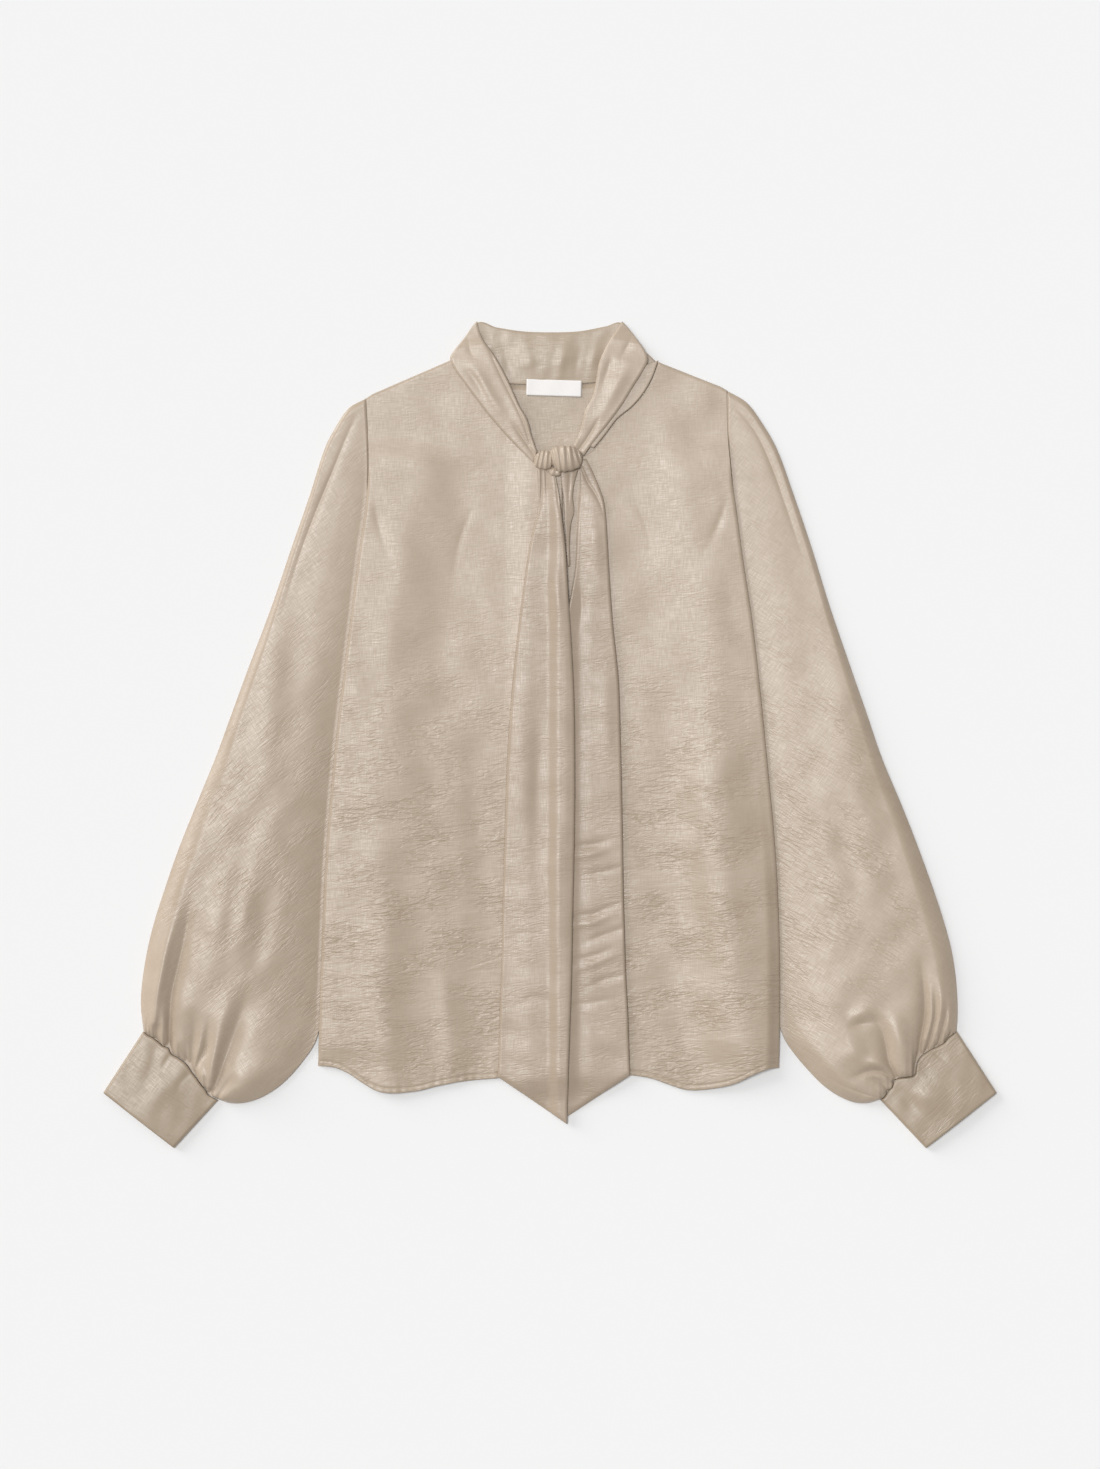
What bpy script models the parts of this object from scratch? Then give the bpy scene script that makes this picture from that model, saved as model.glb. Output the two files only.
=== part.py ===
"""A tie neck blouse laid flat and face up, as thin cloth walls that lie on each other.

+Y points to the collar, +Z is up, and the underside of the back rests at z = 0.
Left and right in the names are the wearer's, so the right side lies at -X.
Every size is in millimetres until it is put into a mesh.
"""

from collections import namedtuple

import bpy
import numpy as np

MM = 0.001

# Driving sizes.
CLOTH = 1.2
BAND = 1.5
SEAM_GAP = 0.4
TUBE_GAP = 0.3
CUFF_WALL = 1.4
LABEL_WALL = 1.0
PANEL_TOP = 2 * CLOTH + TUBE_GAP

# The body lies over the hidden inner strip of each sleeve, and is lifted by it.
TUCK_WIDTH = 35.0
TUCK_LIFT = PANEL_TOP + SEAM_GAP
TUCK_SLOPE = 42.0
FOLD_START_Y = 250.0
FOLD_SOFT = 40.0
UNDERARM_Y = 128.0
SLEEVE_LEAVES_Y = -292.0
HEM_SOFT = 26.0

# The fronts overlap at the centre, hidden by the ties.
LAP_HALF = 12.0
LAP_STEP = CLOTH + TUBE_GAP
BACK_SHORTER = 3.0
BACK_INSET = 0.8

# Half widths of the body: the side edges, seen from the front, at each height.
Side = namedtuple("Side", "y right left")
BODY_SIDES = (
    Side(-345, 221.0, 218.0),
    Side(-316, 220.5, 218.0),
    Side(-217, 217.5, 218.5),
    Side(-115, 213.0, 214.5),
    Side(-15, 204.5, 205.5),
    Side(50, 197.0, 199.0),
    Side(110, 189.5, 192.0),
    Side(170, 182.0, 183.0),
    Side(215, 175.5, 177.0),
    Side(250, 172.5, 172.0),
    Side(285, 173.0, 169.0),
    Side(325, 175.0, 168.0),
)

# The hem hangs lowest at two soft folds, one on each front.
Edge = namedtuple("Edge", "x y")
HEM = (
    Edge(-222, -314.7),
    Edge(-204, -316.6),
    Edge(-191, -322.3),
    Edge(-178, -331.0),
    Edge(-163, -339.0),
    Edge(-129, -339.0),
    Edge(-106, -333.7),
    Edge(-86, -329.9),
    Edge(-45, -326.1),
    Edge(0, -321.0),
    Edge(76, -323.7),
    Edge(97, -327.0),
    Edge(113, -332.7),
    Edge(130, -337.7),
    Edge(154, -336.5),
    Edge(175, -331.8),
    Edge(195, -322.3),
    Edge(208, -317.5),
    Edge(220, -316.6),
)

# Shoulders run from the sleeve to the neck, then the neck edge drops to the centre.
SHOULDER_RIGHT = (Edge(-176, 319.0), Edge(-169, 323.7), Edge(-90, 358.0))
SHOULDER_LEFT = (Edge(103.5, 354.0), Edge(162, 331.0), Edge(169, 327.0))
NECK_BACK = (
    Edge(-90, 358.0),
    Edge(-66, 343.0),
    Edge(-38, 333.2),
    Edge(0, 331.0),
    Edge(42, 334.2),
    Edge(74, 342.0),
    Edge(103.5, 354.0),
)
NECK_FRONT_RIGHT = (
    Edge(-90, 358.0),
    Edge(-73, 336.0),
    Edge(-57, 313.0),
    Edge(-36, 287.5),
    Edge(-14, 267.0),
    Edge(0, 259.5),
    Edge(13, 258.0),
)
NECK_FRONT_LEFT = (
    Edge(-13, 256.0),
    Edge(10, 257.5),
    Edge(28, 261.5),
    Edge(42.8, 270.5),
    Edge(64.6, 300.0),
    Edge(78.9, 311.4),
    Edge(89.3, 323.7),
    Edge(97.9, 338.9),
    Edge(103.5, 354.0),
)

# Broad soft folds that lift a front off the back, each from one end to the other.
Fold = namedtuple("Fold", "x1 y1 x2 y2 half_width height")
BODY_FOLDS = (
    Fold(124, -24, 163, -330, 17, 2.2),
    Fold(98, 120, 96, -60, 20, 1.0),
    Fold(-100, 40, -146, -336, 26, 2.0),
    Fold(-96, -190, -88, -328, 12, 1.0),
    Fold(-140, 215, -158, 20, 16, 1.0),
    Fold(146, 215, 166, 20, 14, 1.1),
)

# Columns run from a side edge to the centre, closer where the sleeve lifts the cloth.
BODY_COLUMNS = (0, 0.04, 0.1, 0.17, 0.21, 0.25, 0.29, 0.34, 0.43, 0.52, 0.62, 0.8, 1)
BACK_NECK_COLUMNS = (0.57, 0.71, 0.9)
FRONT_NECK_COLUMNS = (0.57, 0.68, 0.74, 0.84, 0.88, 0.92)
NECK_POINT = {"right": 90.0, "left": 103.5}
BODY_ROWS = (
    0, 0.015, 0.05, 0.12, 0.2, 0.28, 0.36, 0.44, 0.52, 0.6,
    0.67, 0.74, 0.79, 0.83, 0.865, 0.9, 0.93, 0.96, 1,
)

# Sleeve rows from the armhole to the cuff. "out" is the distance from the centre line.
SleeveRow = namedtuple("SleeveRow", "outer_out outer_y inner_out inner_y")
SLEEVE_RIGHT = (
    SleeveRow(175.8, 319.6, 152.0, 128.0),
    SleeveRow(192.0, 310.4, 154.0, 106.0),
    SleeveRow(205.0, 291.0, 157.0, 82.0),
    SleeveRow(214.0, 273.0, 160.5, 56.0),
    SleeveRow(228.0, 229.0, 166.5, 20.0),
    SleeveRow(246.0, 177.0, 174.0, -24.0),
    SleeveRow(264.1, 123.5, 182.0, -68.0),
    SleeveRow(286.5, 64.0, 190.0, -112.0),
    SleeveRow(303.0, 19.0, 197.0, -154.0),
    SleeveRow(318.0, -22.0, 203.5, -194.0),
    SleeveRow(336.0, -66.0, 209.5, -232.0),
    SleeveRow(353.5, -110.0, 216.0, -266.0),
    SleeveRow(366.0, -146.0, 223.5, -293.0),
    SleeveRow(376.2, -178.0, 235.6, -311.0),
    SleeveRow(382.8, -205.0, 248.0, -325.5),
    SleeveRow(387.0, -230.0, 262.0, -337.5),
    SleeveRow(388.8, -249.0, 276.5, -345.6),
    SleeveRow(388.6, -262.0, 291.5, -350.0),
    SleeveRow(387.5, -273.0, 305.0, -350.0),
    SleeveRow(386.4, -281.8, 315.2, -346.8),
)
SLEEVE_LEFT = (
    SleeveRow(170.4, 327.0, 152.0, 128.0),
    SleeveRow(188.1, 316.1, 154.0, 106.0),
    SleeveRow(203.3, 295.2, 157.0, 82.0),
    SleeveRow(216.0, 272.0, 160.5, 56.0),
    SleeveRow(231.5, 229.0, 166.5, 20.0),
    SleeveRow(249.0, 177.0, 174.0, -24.0),
    SleeveRow(265.5, 123.5, 182.0, -68.0),
    SleeveRow(285.8, 64.0, 190.0, -112.0),
    SleeveRow(301.5, 19.0, 197.0, -154.0),
    SleeveRow(315.5, -22.0, 203.5, -194.0),
    SleeveRow(335.5, -70.0, 209.5, -232.0),
    SleeveRow(351.0, -110.0, 215.5, -266.0),
    SleeveRow(364.0, -146.0, 222.5, -288.5),
    SleeveRow(374.5, -178.0, 233.5, -305.0),
    SleeveRow(381.6, -205.0, 246.0, -319.5),
    SleeveRow(385.5, -230.0, 260.0, -333.5),
    SleeveRow(387.0, -249.0, 274.5, -343.5),
    SleeveRow(387.4, -262.0, 290.0, -349.6),
    SleeveRow(387.2, -273.0, 303.5, -350.0),
    SleeveRow(386.6, -281.6, 313.6, -346.8),
)
ARMHOLE_FADE = (1.0, 0.7, 0.42, 0.2, 0.06)
SLEEVE_TOP_COLUMNS = 22
SLEEVE_UNDER_COLUMNS = 7
SLEEVE_EDGE_ROUND = 0.9

# Height of a sleeve's upper wall above the floor, by its distance from the cuff seam.
Puff = namedtuple("Puff", "along height")
PUFF = (
    Puff(0, 4.2),
    Puff(9, 5.4),
    Puff(25, 6.3),
    Puff(60, 6.2),
    Puff(110, 5.3),
    Puff(180, 4.5),
    Puff(300, 3.7),
    Puff(450, 3.1),
    Puff(700, PANEL_TOP),
)
PUFF_LIMIT = 6.6

# Long folds down the sleeves, by distance from the centre line.
SLEEVE_FOLDS_RIGHT = (
    Fold(250, 132, 272, -87, 11, 1.2),
    Fold(272, -87, 292, -200, 12, 0.9),
    Fold(318, -60, 345, -195, 9, 0.9),
)
SLEEVE_FOLDS_LEFT = (
    Fold(281, -24, 300, -118, 12, 1.2),
    Fold(300, -118, 325, -220, 11, 1.0),
    Fold(245, 150, 268, 0, 11, 0.8),
)

# Gathers at the cuffs: place across the seam from the outer edge, and how each fades.
Gather = namedtuple("Gather", "place depth length half_width drift")
GATHERS_RIGHT = (
    Gather(0.10, 1.1, 26, 2.6, -0.03),
    Gather(0.18, 1.3, 34, 2.6, -0.05),
    Gather(0.27, 2.2, 140, 3.4, -0.12),
    Gather(0.39, 1.0, 22, 2.6, -0.03),
    Gather(0.52, 1.5, 36, 3.0, -0.05),
    Gather(0.63, 1.7, 52, 3.0, -0.08),
    Gather(0.76, 1.4, 44, 3.0, -0.08),
    Gather(0.90, 2.1, 120, 4.5, -0.26),
)
GATHERS_LEFT = (
    Gather(0.07, 1.0, 24, 2.6, -0.02),
    Gather(0.22, 1.4, 42, 2.8, -0.12),
    Gather(0.34, 1.0, 26, 2.6, -0.06),
    Gather(0.46, 2.2, 100, 3.4, -0.17),
    Gather(0.57, 1.6, 60, 3.0, -0.07),
    Gather(0.69, 1.4, 40, 3.0, -0.04),
    Gather(0.78, 1.8, 84, 3.0, -0.14),
    Gather(0.90, 1.3, 40, 3.0, -0.06),
)

# Cuff corners by distance from the centre line: at the seam, then at the open end.
CuffRow = namedtuple("CuffRow", "outer_out outer_y inner_out inner_y")
CUFF_RIGHT = (
    CuffRow(386.7, -282.1, 315.5, -347.5),
    CuffRow(424.7, -340.3, 357.2, -393.0),
)
CUFF_LEFT = (
    CuffRow(386.9, -281.9, 313.9, -347.1),
    CuffRow(424.7, -340.3, 357.2, -393.0),
)
CUFF_STEPS = 3
CUFF_COLUMNS = 8
CUFF_EDGE_TOP = 3.3
CUFF_CROWN = 2.4

# Collar bands that come down the front: inner edge, outer edge, height of the underside.
BandRow = namedtuple("BandRow", "inner_x inner_y outer_x outer_y seat")
COLLAR_RIGHT = (
    BandRow(-69.4, 393.1, -74.0, 388.0, 1.6),
    BandRow(-66.5, 381.7, -81.7, 376.9, 1.6),
    BandRow(-62.7, 374.1, -89.3, 367.4, 2.2),
    BandRow(-57.0, 366.4, -95.0, 357.9, 3.0),
    BandRow(-51.3, 358.0, -90.3, 346.5, 3.1),
    BandRow(-44.7, 346.5, -82.7, 336.0, 3.1),
    BandRow(-36.1, 328.5, -72.2, 321.5, 3.1),
    BandRow(-29.5, 313.3, -60.8, 306.6, 3.1),
    BandRow(-21.9, 300.0, -47.5, 290.9, 3.1),
    BandRow(-17.6, 284.5, -32.3, 274.3, 3.1),
    BandRow(-15.4, 270.0, -17.8, 257.0, 3.1),
)
COLLAR_LEFT = (
    BandRow(68.4, 393.1, 73.1, 388.4, 1.6),
    BandRow(63.7, 385.4, 83.6, 375.0, 1.6),
    BandRow(57.0, 375.9, 91.2, 363.6, 2.2),
    BandRow(51.3, 365.5, 93.1, 356.0, 3.0),
    BandRow(46.6, 354.1, 88.4, 345.5, 3.1),
    BandRow(43.7, 337.5, 78.9, 330.4, 3.1),
    BandRow(39.9, 321.0, 68.4, 313.3, 3.1),
    BandRow(33.3, 308.5, 58.0, 299.0, 3.1),
    BandRow(30.4, 296.2, 47.5, 285.7, 3.1),
    BandRow(27.6, 286.7, 38.6, 274.4, 3.1),
    BandRow(24.7, 276.3, 33.8, 268.0, 3.1),
)
BAND_COLUMNS = 8
BAND_CROWN = 2.0
BAND_INNER_DROP = 1.3
BAND_DROP_ROWS = 8

# The back of the collar band, inner side up, and its top edge.
COLLAR_BACK_TOP = (
    Edge(-90, 361.5),
    Edge(-81, 373.5),
    Edge(-70, 390.5),
    Edge(-51, 387.3),
    Edge(-27, 383.6),
    Edge(0, 382.6),
    Edge(28, 383.6),
    Edge(53, 388.2),
    Edge(69, 390.5),
    Edge(82, 373.0),
    Edge(97, 358.5),
)
COLLAR_BACK_COLUMNS = 20
COLLAR_BACK_ROWS = 4
COLLAR_BACK_CROWN = 1.2

# The strip of band outside the left collar, from the neck edge to under the collar.
StandRow = namedtuple("StandRow", "outer_x outer_y inner_x inner_y")
NECK_STAND = (
    StandRow(102.2, 353.2, 84.0, 349.0),
    StandRow(96.9, 340.4, 77.0, 336.0),
    StandRow(88.3, 325.3, 67.5, 322.0),
    StandRow(77.6, 312.8, 57.0, 309.0),
    StandRow(63.4, 301.2, 47.0, 296.0),
    StandRow(51.5, 285.2, 40.0, 286.0),
    StandRow(42.0, 272.6, 34.0, 275.0),
)

# The knot, as sections across it from the wearer's right to left.
KnotRow = namedtuple("KnotRow", "x low_y high_y top")
KNOT = (
    KnotRow(-13.6, 257.5, 266.0, 7.0),
    KnotRow(-10.0, 254.0, 269.5, 10.0),
    KnotRow(-5.0, 252.6, 272.2, 12.4),
    KnotRow(-0.5, 253.2, 273.0, 11.2),
    KnotRow(3.0, 250.6, 273.6, 12.4),
    KnotRow(9.0, 248.2, 274.0, 15.6),
    KnotRow(16.0, 248.0, 273.8, 16.4),
    KnotRow(22.5, 248.4, 271.2, 14.8),
    KnotRow(27.5, 250.6, 266.5, 11.6),
    KnotRow(30.6, 255.0, 262.0, 8.0),
)
KNOT_UNDERSIDE = 4.8
KNOT_RING = 12

# The hanging tie ends: left and right edge of each row, in plan.
TieRow = namedtuple("TieRow", "left_x left_y right_x right_y")
TIE_RIGHT = (
    TieRow(-12.2, 250.0, -1.0, 248.6),
    TieRow(-12.6, 240.0, 7.2, 241.0),
    TieRow(-14.0, 226.0, 9.8, 227.0),
    TieRow(-19.0, 191.0, 13.3, 191.0),
    TieRow(-26.5, 138.5, 17.1, 138.5),
    TieRow(-32.0, 94.8, 20.0, 94.8),
    TieRow(-36.5, 40.6, 22.8, 40.6),
    TieRow(-41.0, -25.0, 23.8, -25.0),
    TieRow(-43.0, -85.0, 23.6, -85.0),
    TieRow(-45.3, -169.0, 21.9, -169.0),
    TieRow(-46.4, -226.0, 20.9, -226.0),
    TieRow(-48.0, -272.0, 19.0, -285.0),
    TieRow(-48.8, -304.0, 17.6, -325.0),
    TieRow(-49.2, -316.0, 17.0, -347.0),
    TieRow(-49.5, -325.1, 17.0, -369.8),
)
TIE_LEFT = (
    TieRow(32.4, 258.5, 36.6, 258.0),
    TieRow(31.2, 248.0, 41.5, 249.0),
    TieRow(29.2, 236.0, 46.0, 237.0),
    TieRow(27.6, 222.7, 51.0, 222.7),
    TieRow(26.6, 206.0, 53.2, 206.0),
    TieRow(25.2, 186.0, 54.6, 186.0),
    TieRow(24.0, 160.0, 56.0, 160.0),
    TieRow(15.0, 105.0, 59.8, 105.0),
    TieRow(12.0, 51.0, 65.3, 51.0),
    TieRow(12.0, -3.0, 67.0, -3.0),
    TieRow(12.0, -70.0, 68.6, -70.0),
    TieRow(12.3, -165.0, 70.3, -165.0),
    TieRow(13.0, -226.0, 72.2, -226.0),
    TieRow(14.0, -285.0, 74.4, -272.0),
    TieRow(14.6, -325.0, 75.4, -302.0),
    TieRow(15.0, -346.0, 75.8, -314.0),
    TieRow(15.3, -363.8, 76.2, -323.5),
)
TIE_FOLD = (
    TieRow(10.8, 246.4, 26.4, 246.4),
    TieRow(11.6, 236.0, 22.2, 236.0),
    TieRow(12.6, 226.0, 21.6, 226.0),
    TieRow(13.2, 212.0, 22.6, 212.0),
    TieRow(13.9, 200.0, 19.8, 200.0),
    TieRow(15.2, 184.0, 18.6, 184.0),
    TieRow(16.8, 166.0, 19.4, 166.0),
)
TIE_COLUMNS = 7
TIE_CROWN = 1.3
TIE_FLOOR_START = 2.0
TIE_FLOOR_RUN = 27.0
TIE_OVER_START = -3.0
TIE_OVER_RUN = 12.0
TIE_CLEAR = 1.0

# The label, a rectangle in plan, half on the back and half on the collar.
LABEL_CENTRE = Edge(3.8, 329.6)
LABEL_SIZE = (52.5, 15.6)
LABEL_TILT = -0.03

SATIN_CHEST = (0.56, 0.47, 0.38)
SATIN_SLEEVE = (0.50, 0.41, 0.33)
SATIN_CUFF = (0.44, 0.36, 0.28)
SATIN_COLLAR = (0.60, 0.50, 0.41)
SATIN_TIE = (0.50, 0.41, 0.33)
SATIN_INSIDE = (0.54, 0.45, 0.36)
LABEL_WHITE = (0.82, 0.79, 0.76)
SATIN_ROUGHNESS = 0.45
LABEL_ROUGHNESS = 0.7


def column(rows, name):
    """One named column of a table, as an array."""
    return np.array([getattr(row, name) for row in rows], float)


def smooth(t):
    """0 below 0, 1 above 1, and an S-shaped rise between."""
    t = np.clip(t, 0.0, 1.0)
    return t * t * (3.0 - 2.0 * t)


def curve(knots, values, at):
    """A cubic curve through the values, whose slope at each knot is the mean of its two sides'."""
    knots, values, at = (np.asarray(a, float) for a in (knots, values, at))
    rises = np.diff(values) / np.diff(knots)
    slopes = np.concatenate([rises[:1], (rises[:-1] + rises[1:]) / 2, rises[-1:]])
    k = np.clip(np.searchsorted(knots, at) - 1, 0, len(knots) - 2)
    span = knots[k + 1] - knots[k]
    t = (at - knots[k]) / span
    first = (1 + 2 * t) * (1 - t) ** 2 * values[k] + t * (1 - t) ** 2 * span * slopes[k]
    second = t * t * (3 - 2 * t) * values[k + 1] - t * t * (1 - t) * span * slopes[k + 1]
    return first + second


def edge_curve(edge, x):
    return curve(column(edge, "x"), column(edge, "y"), x)


def edge_line(edge, x):
    return np.interp(x, column(edge, "x"), column(edge, "y"))


def side_out(side, y):
    """Distance of the body's side edge from the centre line at a height."""
    y = np.clip(y, BODY_SIDES[0].y, BODY_SIDES[-1].y)
    return curve(column(BODY_SIDES, "y"), column(BODY_SIDES, side), y)


def fold_height(folds, x, y):
    """Sum of soft ridges: each falls off as a bell across its line and fades at its ends."""
    total = np.zeros(np.broadcast(x, y).shape)
    for fold in folds:
        dx, dy = fold.x2 - fold.x1, fold.y2 - fold.y1
        length = np.hypot(dx, dy)
        along = ((x - fold.x1) * dx + (y - fold.y1) * dy) / length**2
        across = ((x - fold.x1) * dy - (y - fold.y1) * dx) / length
        ends = smooth(along / 0.3 + 0.4) * smooth((1.0 - along) / 0.3 + 0.4)
        total = total + fold.height * ends * np.exp(-((across / fold.half_width) ** 2))
    return total


def lift(x, y):
    """How far the body's underside is held up by the sleeve tucked below it."""
    out_right = side_out("right", y)
    out_left = side_out("left", y)
    inside = np.where(x < 0, out_right + x, out_left - x)
    across = 1.0 - smooth((inside - TUCK_WIDTH - 4.0) / TUCK_SLOPE)
    along = smooth((FOLD_START_Y + FOLD_SOFT - y) / FOLD_SOFT)
    hem = 0.3 + 0.7 * smooth((y - SLEEVE_LEAVES_Y + HEM_SOFT) / HEM_SOFT)
    return TUCK_LIFT * across * along * hem


def front_relief(x, y):
    """Soft folds of a front, none at its side edges or under the ties."""
    out = np.where(x < 0, side_out("right", y), side_out("left", y))
    room = smooth((out - np.abs(x)) / 14.0) * smooth((np.abs(x) - 66.0) / 24.0)
    return fold_height(BODY_FOLDS, x, y) * room


def lap_rise(x):
    """Extra height where the right front lies over the left one, at the centre."""
    onto = smooth((x + 3.7 * LAP_HALF) / (2.3 * LAP_HALF))
    off = smooth((x - LAP_HALF - 1.5) / (1.4 * LAP_HALF))
    return LAP_STEP * onto * (1.0 - off)


def body_grid(side, top_edge, columns, end_out):
    """Plan points of half a panel, from its side edge to end_out past the centre line.

    One more column runs up to the point where the shoulder meets the neck edge.
    """
    sign = -1.0 if side == "right" else 1.0
    shoulder_out = side_out(side, BODY_SIDES[-1].y)
    neck_column = (shoulder_out - NECK_POINT[side]) / (shoulder_out + end_out)
    c, r = np.meshgrid(sorted(columns + (neck_column,)), BODY_ROWS)
    centre = -sign * end_out
    y = np.full(c.shape, 300.0)
    for _ in range(4):
        x = sign * side_out(side, y) * (1 - c) + centre * c
        y = edge_curve(HEM, x) * (1 - r) + top_edge(x) * r
    x = sign * side_out(side, y) * (1 - c) + centre * c
    if sign > 0:
        x, y = x[:, ::-1], y[:, ::-1]
    return x, y


def grid_faces(rows, columns):
    """Quads of a grid whose points are listed row by row, all the same way round."""
    first = np.arange(rows - 1)[:, None] * columns + np.arange(columns - 1)
    first = first.reshape(-1)
    return np.column_stack([first, first + 1, first + columns + 1, first + columns])


def add_object(name, points, faces, color, roughness=SATIN_ROUGHNESS):
    """A named mesh object with its own material, from points in millimetres."""
    mesh = bpy.data.meshes.new(name)
    mesh.from_pydata((points * MM).tolist(), [], [list(map(int, face)) for face in faces])
    mesh.update()
    mesh.shade_smooth()
    mesh.set_sharp_from_angle(angle=0.7)
    material = bpy.data.materials.new(name + "_cloth")
    material.use_nodes = True
    shader = material.node_tree.nodes["Principled BSDF"]
    shader.inputs["Base Color"].default_value = (*color, 1.0)
    shader.inputs["Roughness"].default_value = roughness
    shader.inputs["Metallic"].default_value = 0.0
    mesh.materials.append(material)
    piece = bpy.data.objects.new(name, mesh)
    blouse.objects.link(piece)
    return piece


def add_sheet(name, x, y, top, wall, color, roughness=SATIN_ROUGHNESS):
    """A sheet of cloth: its upper face is a grid, and Solidify gives it a wall below that."""
    points = np.stack([x, y, top], axis=-1).reshape(-1, 3)
    faces = grid_faces(*x.shape)
    a, b, d = points[faces[:, 0]], points[faces[:, 1]], points[faces[:, 3]]
    if np.cross(b - a, d - a)[:, 2].sum() < 0:
        faces = faces[:, ::-1]
    sheet = add_object(name, points, faces, color, roughness)
    solidify = sheet.modifiers.new("cloth_wall", "SOLIDIFY")
    solidify.thickness = wall * MM
    solidify.offset = -1.0
    return sheet


def ring_faces(first_ring, ring_size, rings, inward=False):
    """Quads between rings of points that follow each other."""
    i = np.arange(ring_size)
    step = first_ring + np.arange(rings - 1)[:, None] * ring_size
    a = (step + i).reshape(-1)
    b = (step + (i + 1) % ring_size).reshape(-1)
    faces = np.column_stack([a, b, b + ring_size, a + ring_size])
    return faces[:, ::-1] if inward else faces


def add_tube(name, outer, inner, color):
    """A cloth tube open at both ends: a loft of outer rings and one of inner rings, joined at the ends.

    Rings run the way that makes a face built from a row to the next one point outwards.
    """
    rings, size = outer.shape[:2]
    count = rings * size
    last = (rings - 1) * size
    i = np.arange(size)
    j = (i + 1) % size
    start = np.column_stack([j, i, i + count, j + count])
    end = np.column_stack([i + last, j + last, j + last + count, i + last + count])
    faces = np.concatenate([
        ring_faces(0, size, rings),
        ring_faces(count, size, rings, inward=True),
        start,
        end,
    ])
    points = np.concatenate([outer.reshape(-1, 3), inner.reshape(-1, 3)])
    return add_object(name, points, faces, color)


def flattened_ring(x, y, top, bottom, wall, edge_round, under):
    """Outer and inner rings of a flattened tube's rows.

    x, y and top are rows of plan points and heights across the upper wall. The lower wall
    lies flat at bottom, with only the columns in under. Each side edge is a narrow round.
    """
    step = np.stack([np.gradient(x, axis=1), np.gradient(y, axis=1)], axis=-1)
    step /= np.linalg.norm(step, axis=-1, keepdims=True)

    def ring(px, py, upper, lower, bulge):
        first = np.stack([px[:, 0], py[:, 0]], -1) - bulge * step[:, 0]
        final = np.stack([px[:, -1], py[:, -1]], -1) + bulge * step[:, -1]
        middle_first = (upper[:, 0] + lower) / 2
        middle_final = (upper[:, -1] + lower) / 2
        upper_wall = np.stack([px, py, upper], axis=-1)
        flat = np.broadcast_to(lower[:, None], px.shape)
        lower_wall = np.stack([px, py, flat], axis=-1)[:, under][:, ::-1]
        start = np.column_stack([first, middle_first])[:, None]
        end = np.column_stack([final, middle_final])[:, None]
        return np.concatenate([upper_wall, end, lower_wall, start], axis=1)

    outer = ring(x, y, top, bottom, edge_round)
    u = np.linspace(0, 1, x.shape[1])
    inner_x = x + step[:, :, 0] * wall * (1 - 2 * u)
    inner_y = y + step[:, :, 1] * wall * (1 - 2 * u)
    inner = ring(inner_x, inner_y, top - wall, bottom + wall, edge_round * 0.5)
    return outer, inner


def sleeve_plan(side, rows):
    """Plan points of a sleeve's rows: straight lines, but for the armhole curve and its neighbours."""
    u = np.linspace(0, 1, SLEEVE_TOP_COLUMNS + 1)
    outer = np.column_stack([column(rows, "outer_out"), column(rows, "outer_y")])
    inner = np.column_stack([column(rows, "inner_out"), column(rows, "inner_y")])
    plan = outer[:, None] * (1 - u[:, None]) + inner[:, None] * u[:, None]
    armhole_y = plan[0, :, 1]
    tuck = smooth((FOLD_START_Y - 6.0 - armhole_y) / (FOLD_START_Y - 6.0 - UNDERARM_Y))
    straight_end = side_out(side, UNDERARM_Y) + SEAM_GAP - inner[0, 0]
    armhole_out = side_out(side, armhole_y) + SEAM_GAP - straight_end * tuck
    bend = armhole_out - plan[0, :, 0]
    for i, share in enumerate(ARMHOLE_FADE):
        plan[i, :, 0] += share * bend
    return plan, u


def sleeve_top(side, plan, u, folds, gathers):
    """Height of the upper wall: a low puff, long folds, and gathers that fade from the cuff."""
    out, y = plan[..., 0], plan[..., 1]
    along = np.hypot(out - out[-1], y - y[-1])
    width = np.hypot(out[:, -1] - out[:, 0], y[:, -1] - y[:, 0])[:, None]
    puff = np.interp(along, column(PUFF, "along"), column(PUFF, "height"))
    crown = np.clip(4 * u * (1 - u), 0, 1) ** 0.4
    height = PANEL_TOP + (puff - PANEL_TOP) * crown
    height = height + fold_height(folds, out, y) * crown
    for gather in gathers:
        fade = smooth(1.0 - along / gather.length)
        place = gather.place + gather.drift * along / gather.length
        across = (u - place) * width / gather.half_width
        height = height - gather.depth * fade * np.exp(-(across**2))
    outside = out - side_out(side, np.maximum(y, -345.0)) - 3.0
    shown = smooth(outside / 16.0)
    height = PANEL_TOP + (height - PANEL_TOP) * shown
    return np.clip(height, PANEL_TOP, PUFF_LIMIT)


def add_sleeve(side, rows, folds, gathers):
    sign = -1.0 if side == "right" else 1.0
    plan, u = sleeve_plan(side, rows)
    top = sleeve_top(side, plan, u, folds, gathers)
    under = np.linspace(0, SLEEVE_TOP_COLUMNS, SLEEVE_UNDER_COLUMNS + 1).round().astype(int)
    floor = np.zeros(len(plan))
    outer, inner = flattened_ring(
        sign * plan[..., 0], plan[..., 1], top, floor, CLOTH, SLEEVE_EDGE_ROUND, under
    )
    return add_wound_tube("sleeve_" + side, outer, inner, SATIN_SLEEVE, sign)


def add_wound_tube(name, outer, inner, color, sign):
    """A tube whose rings are turned to run the right way for its side of the body."""
    if sign < 0:
        outer, inner = outer[:, ::-1], inner[:, ::-1]
    return add_tube(name, outer, inner, color)


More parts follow.
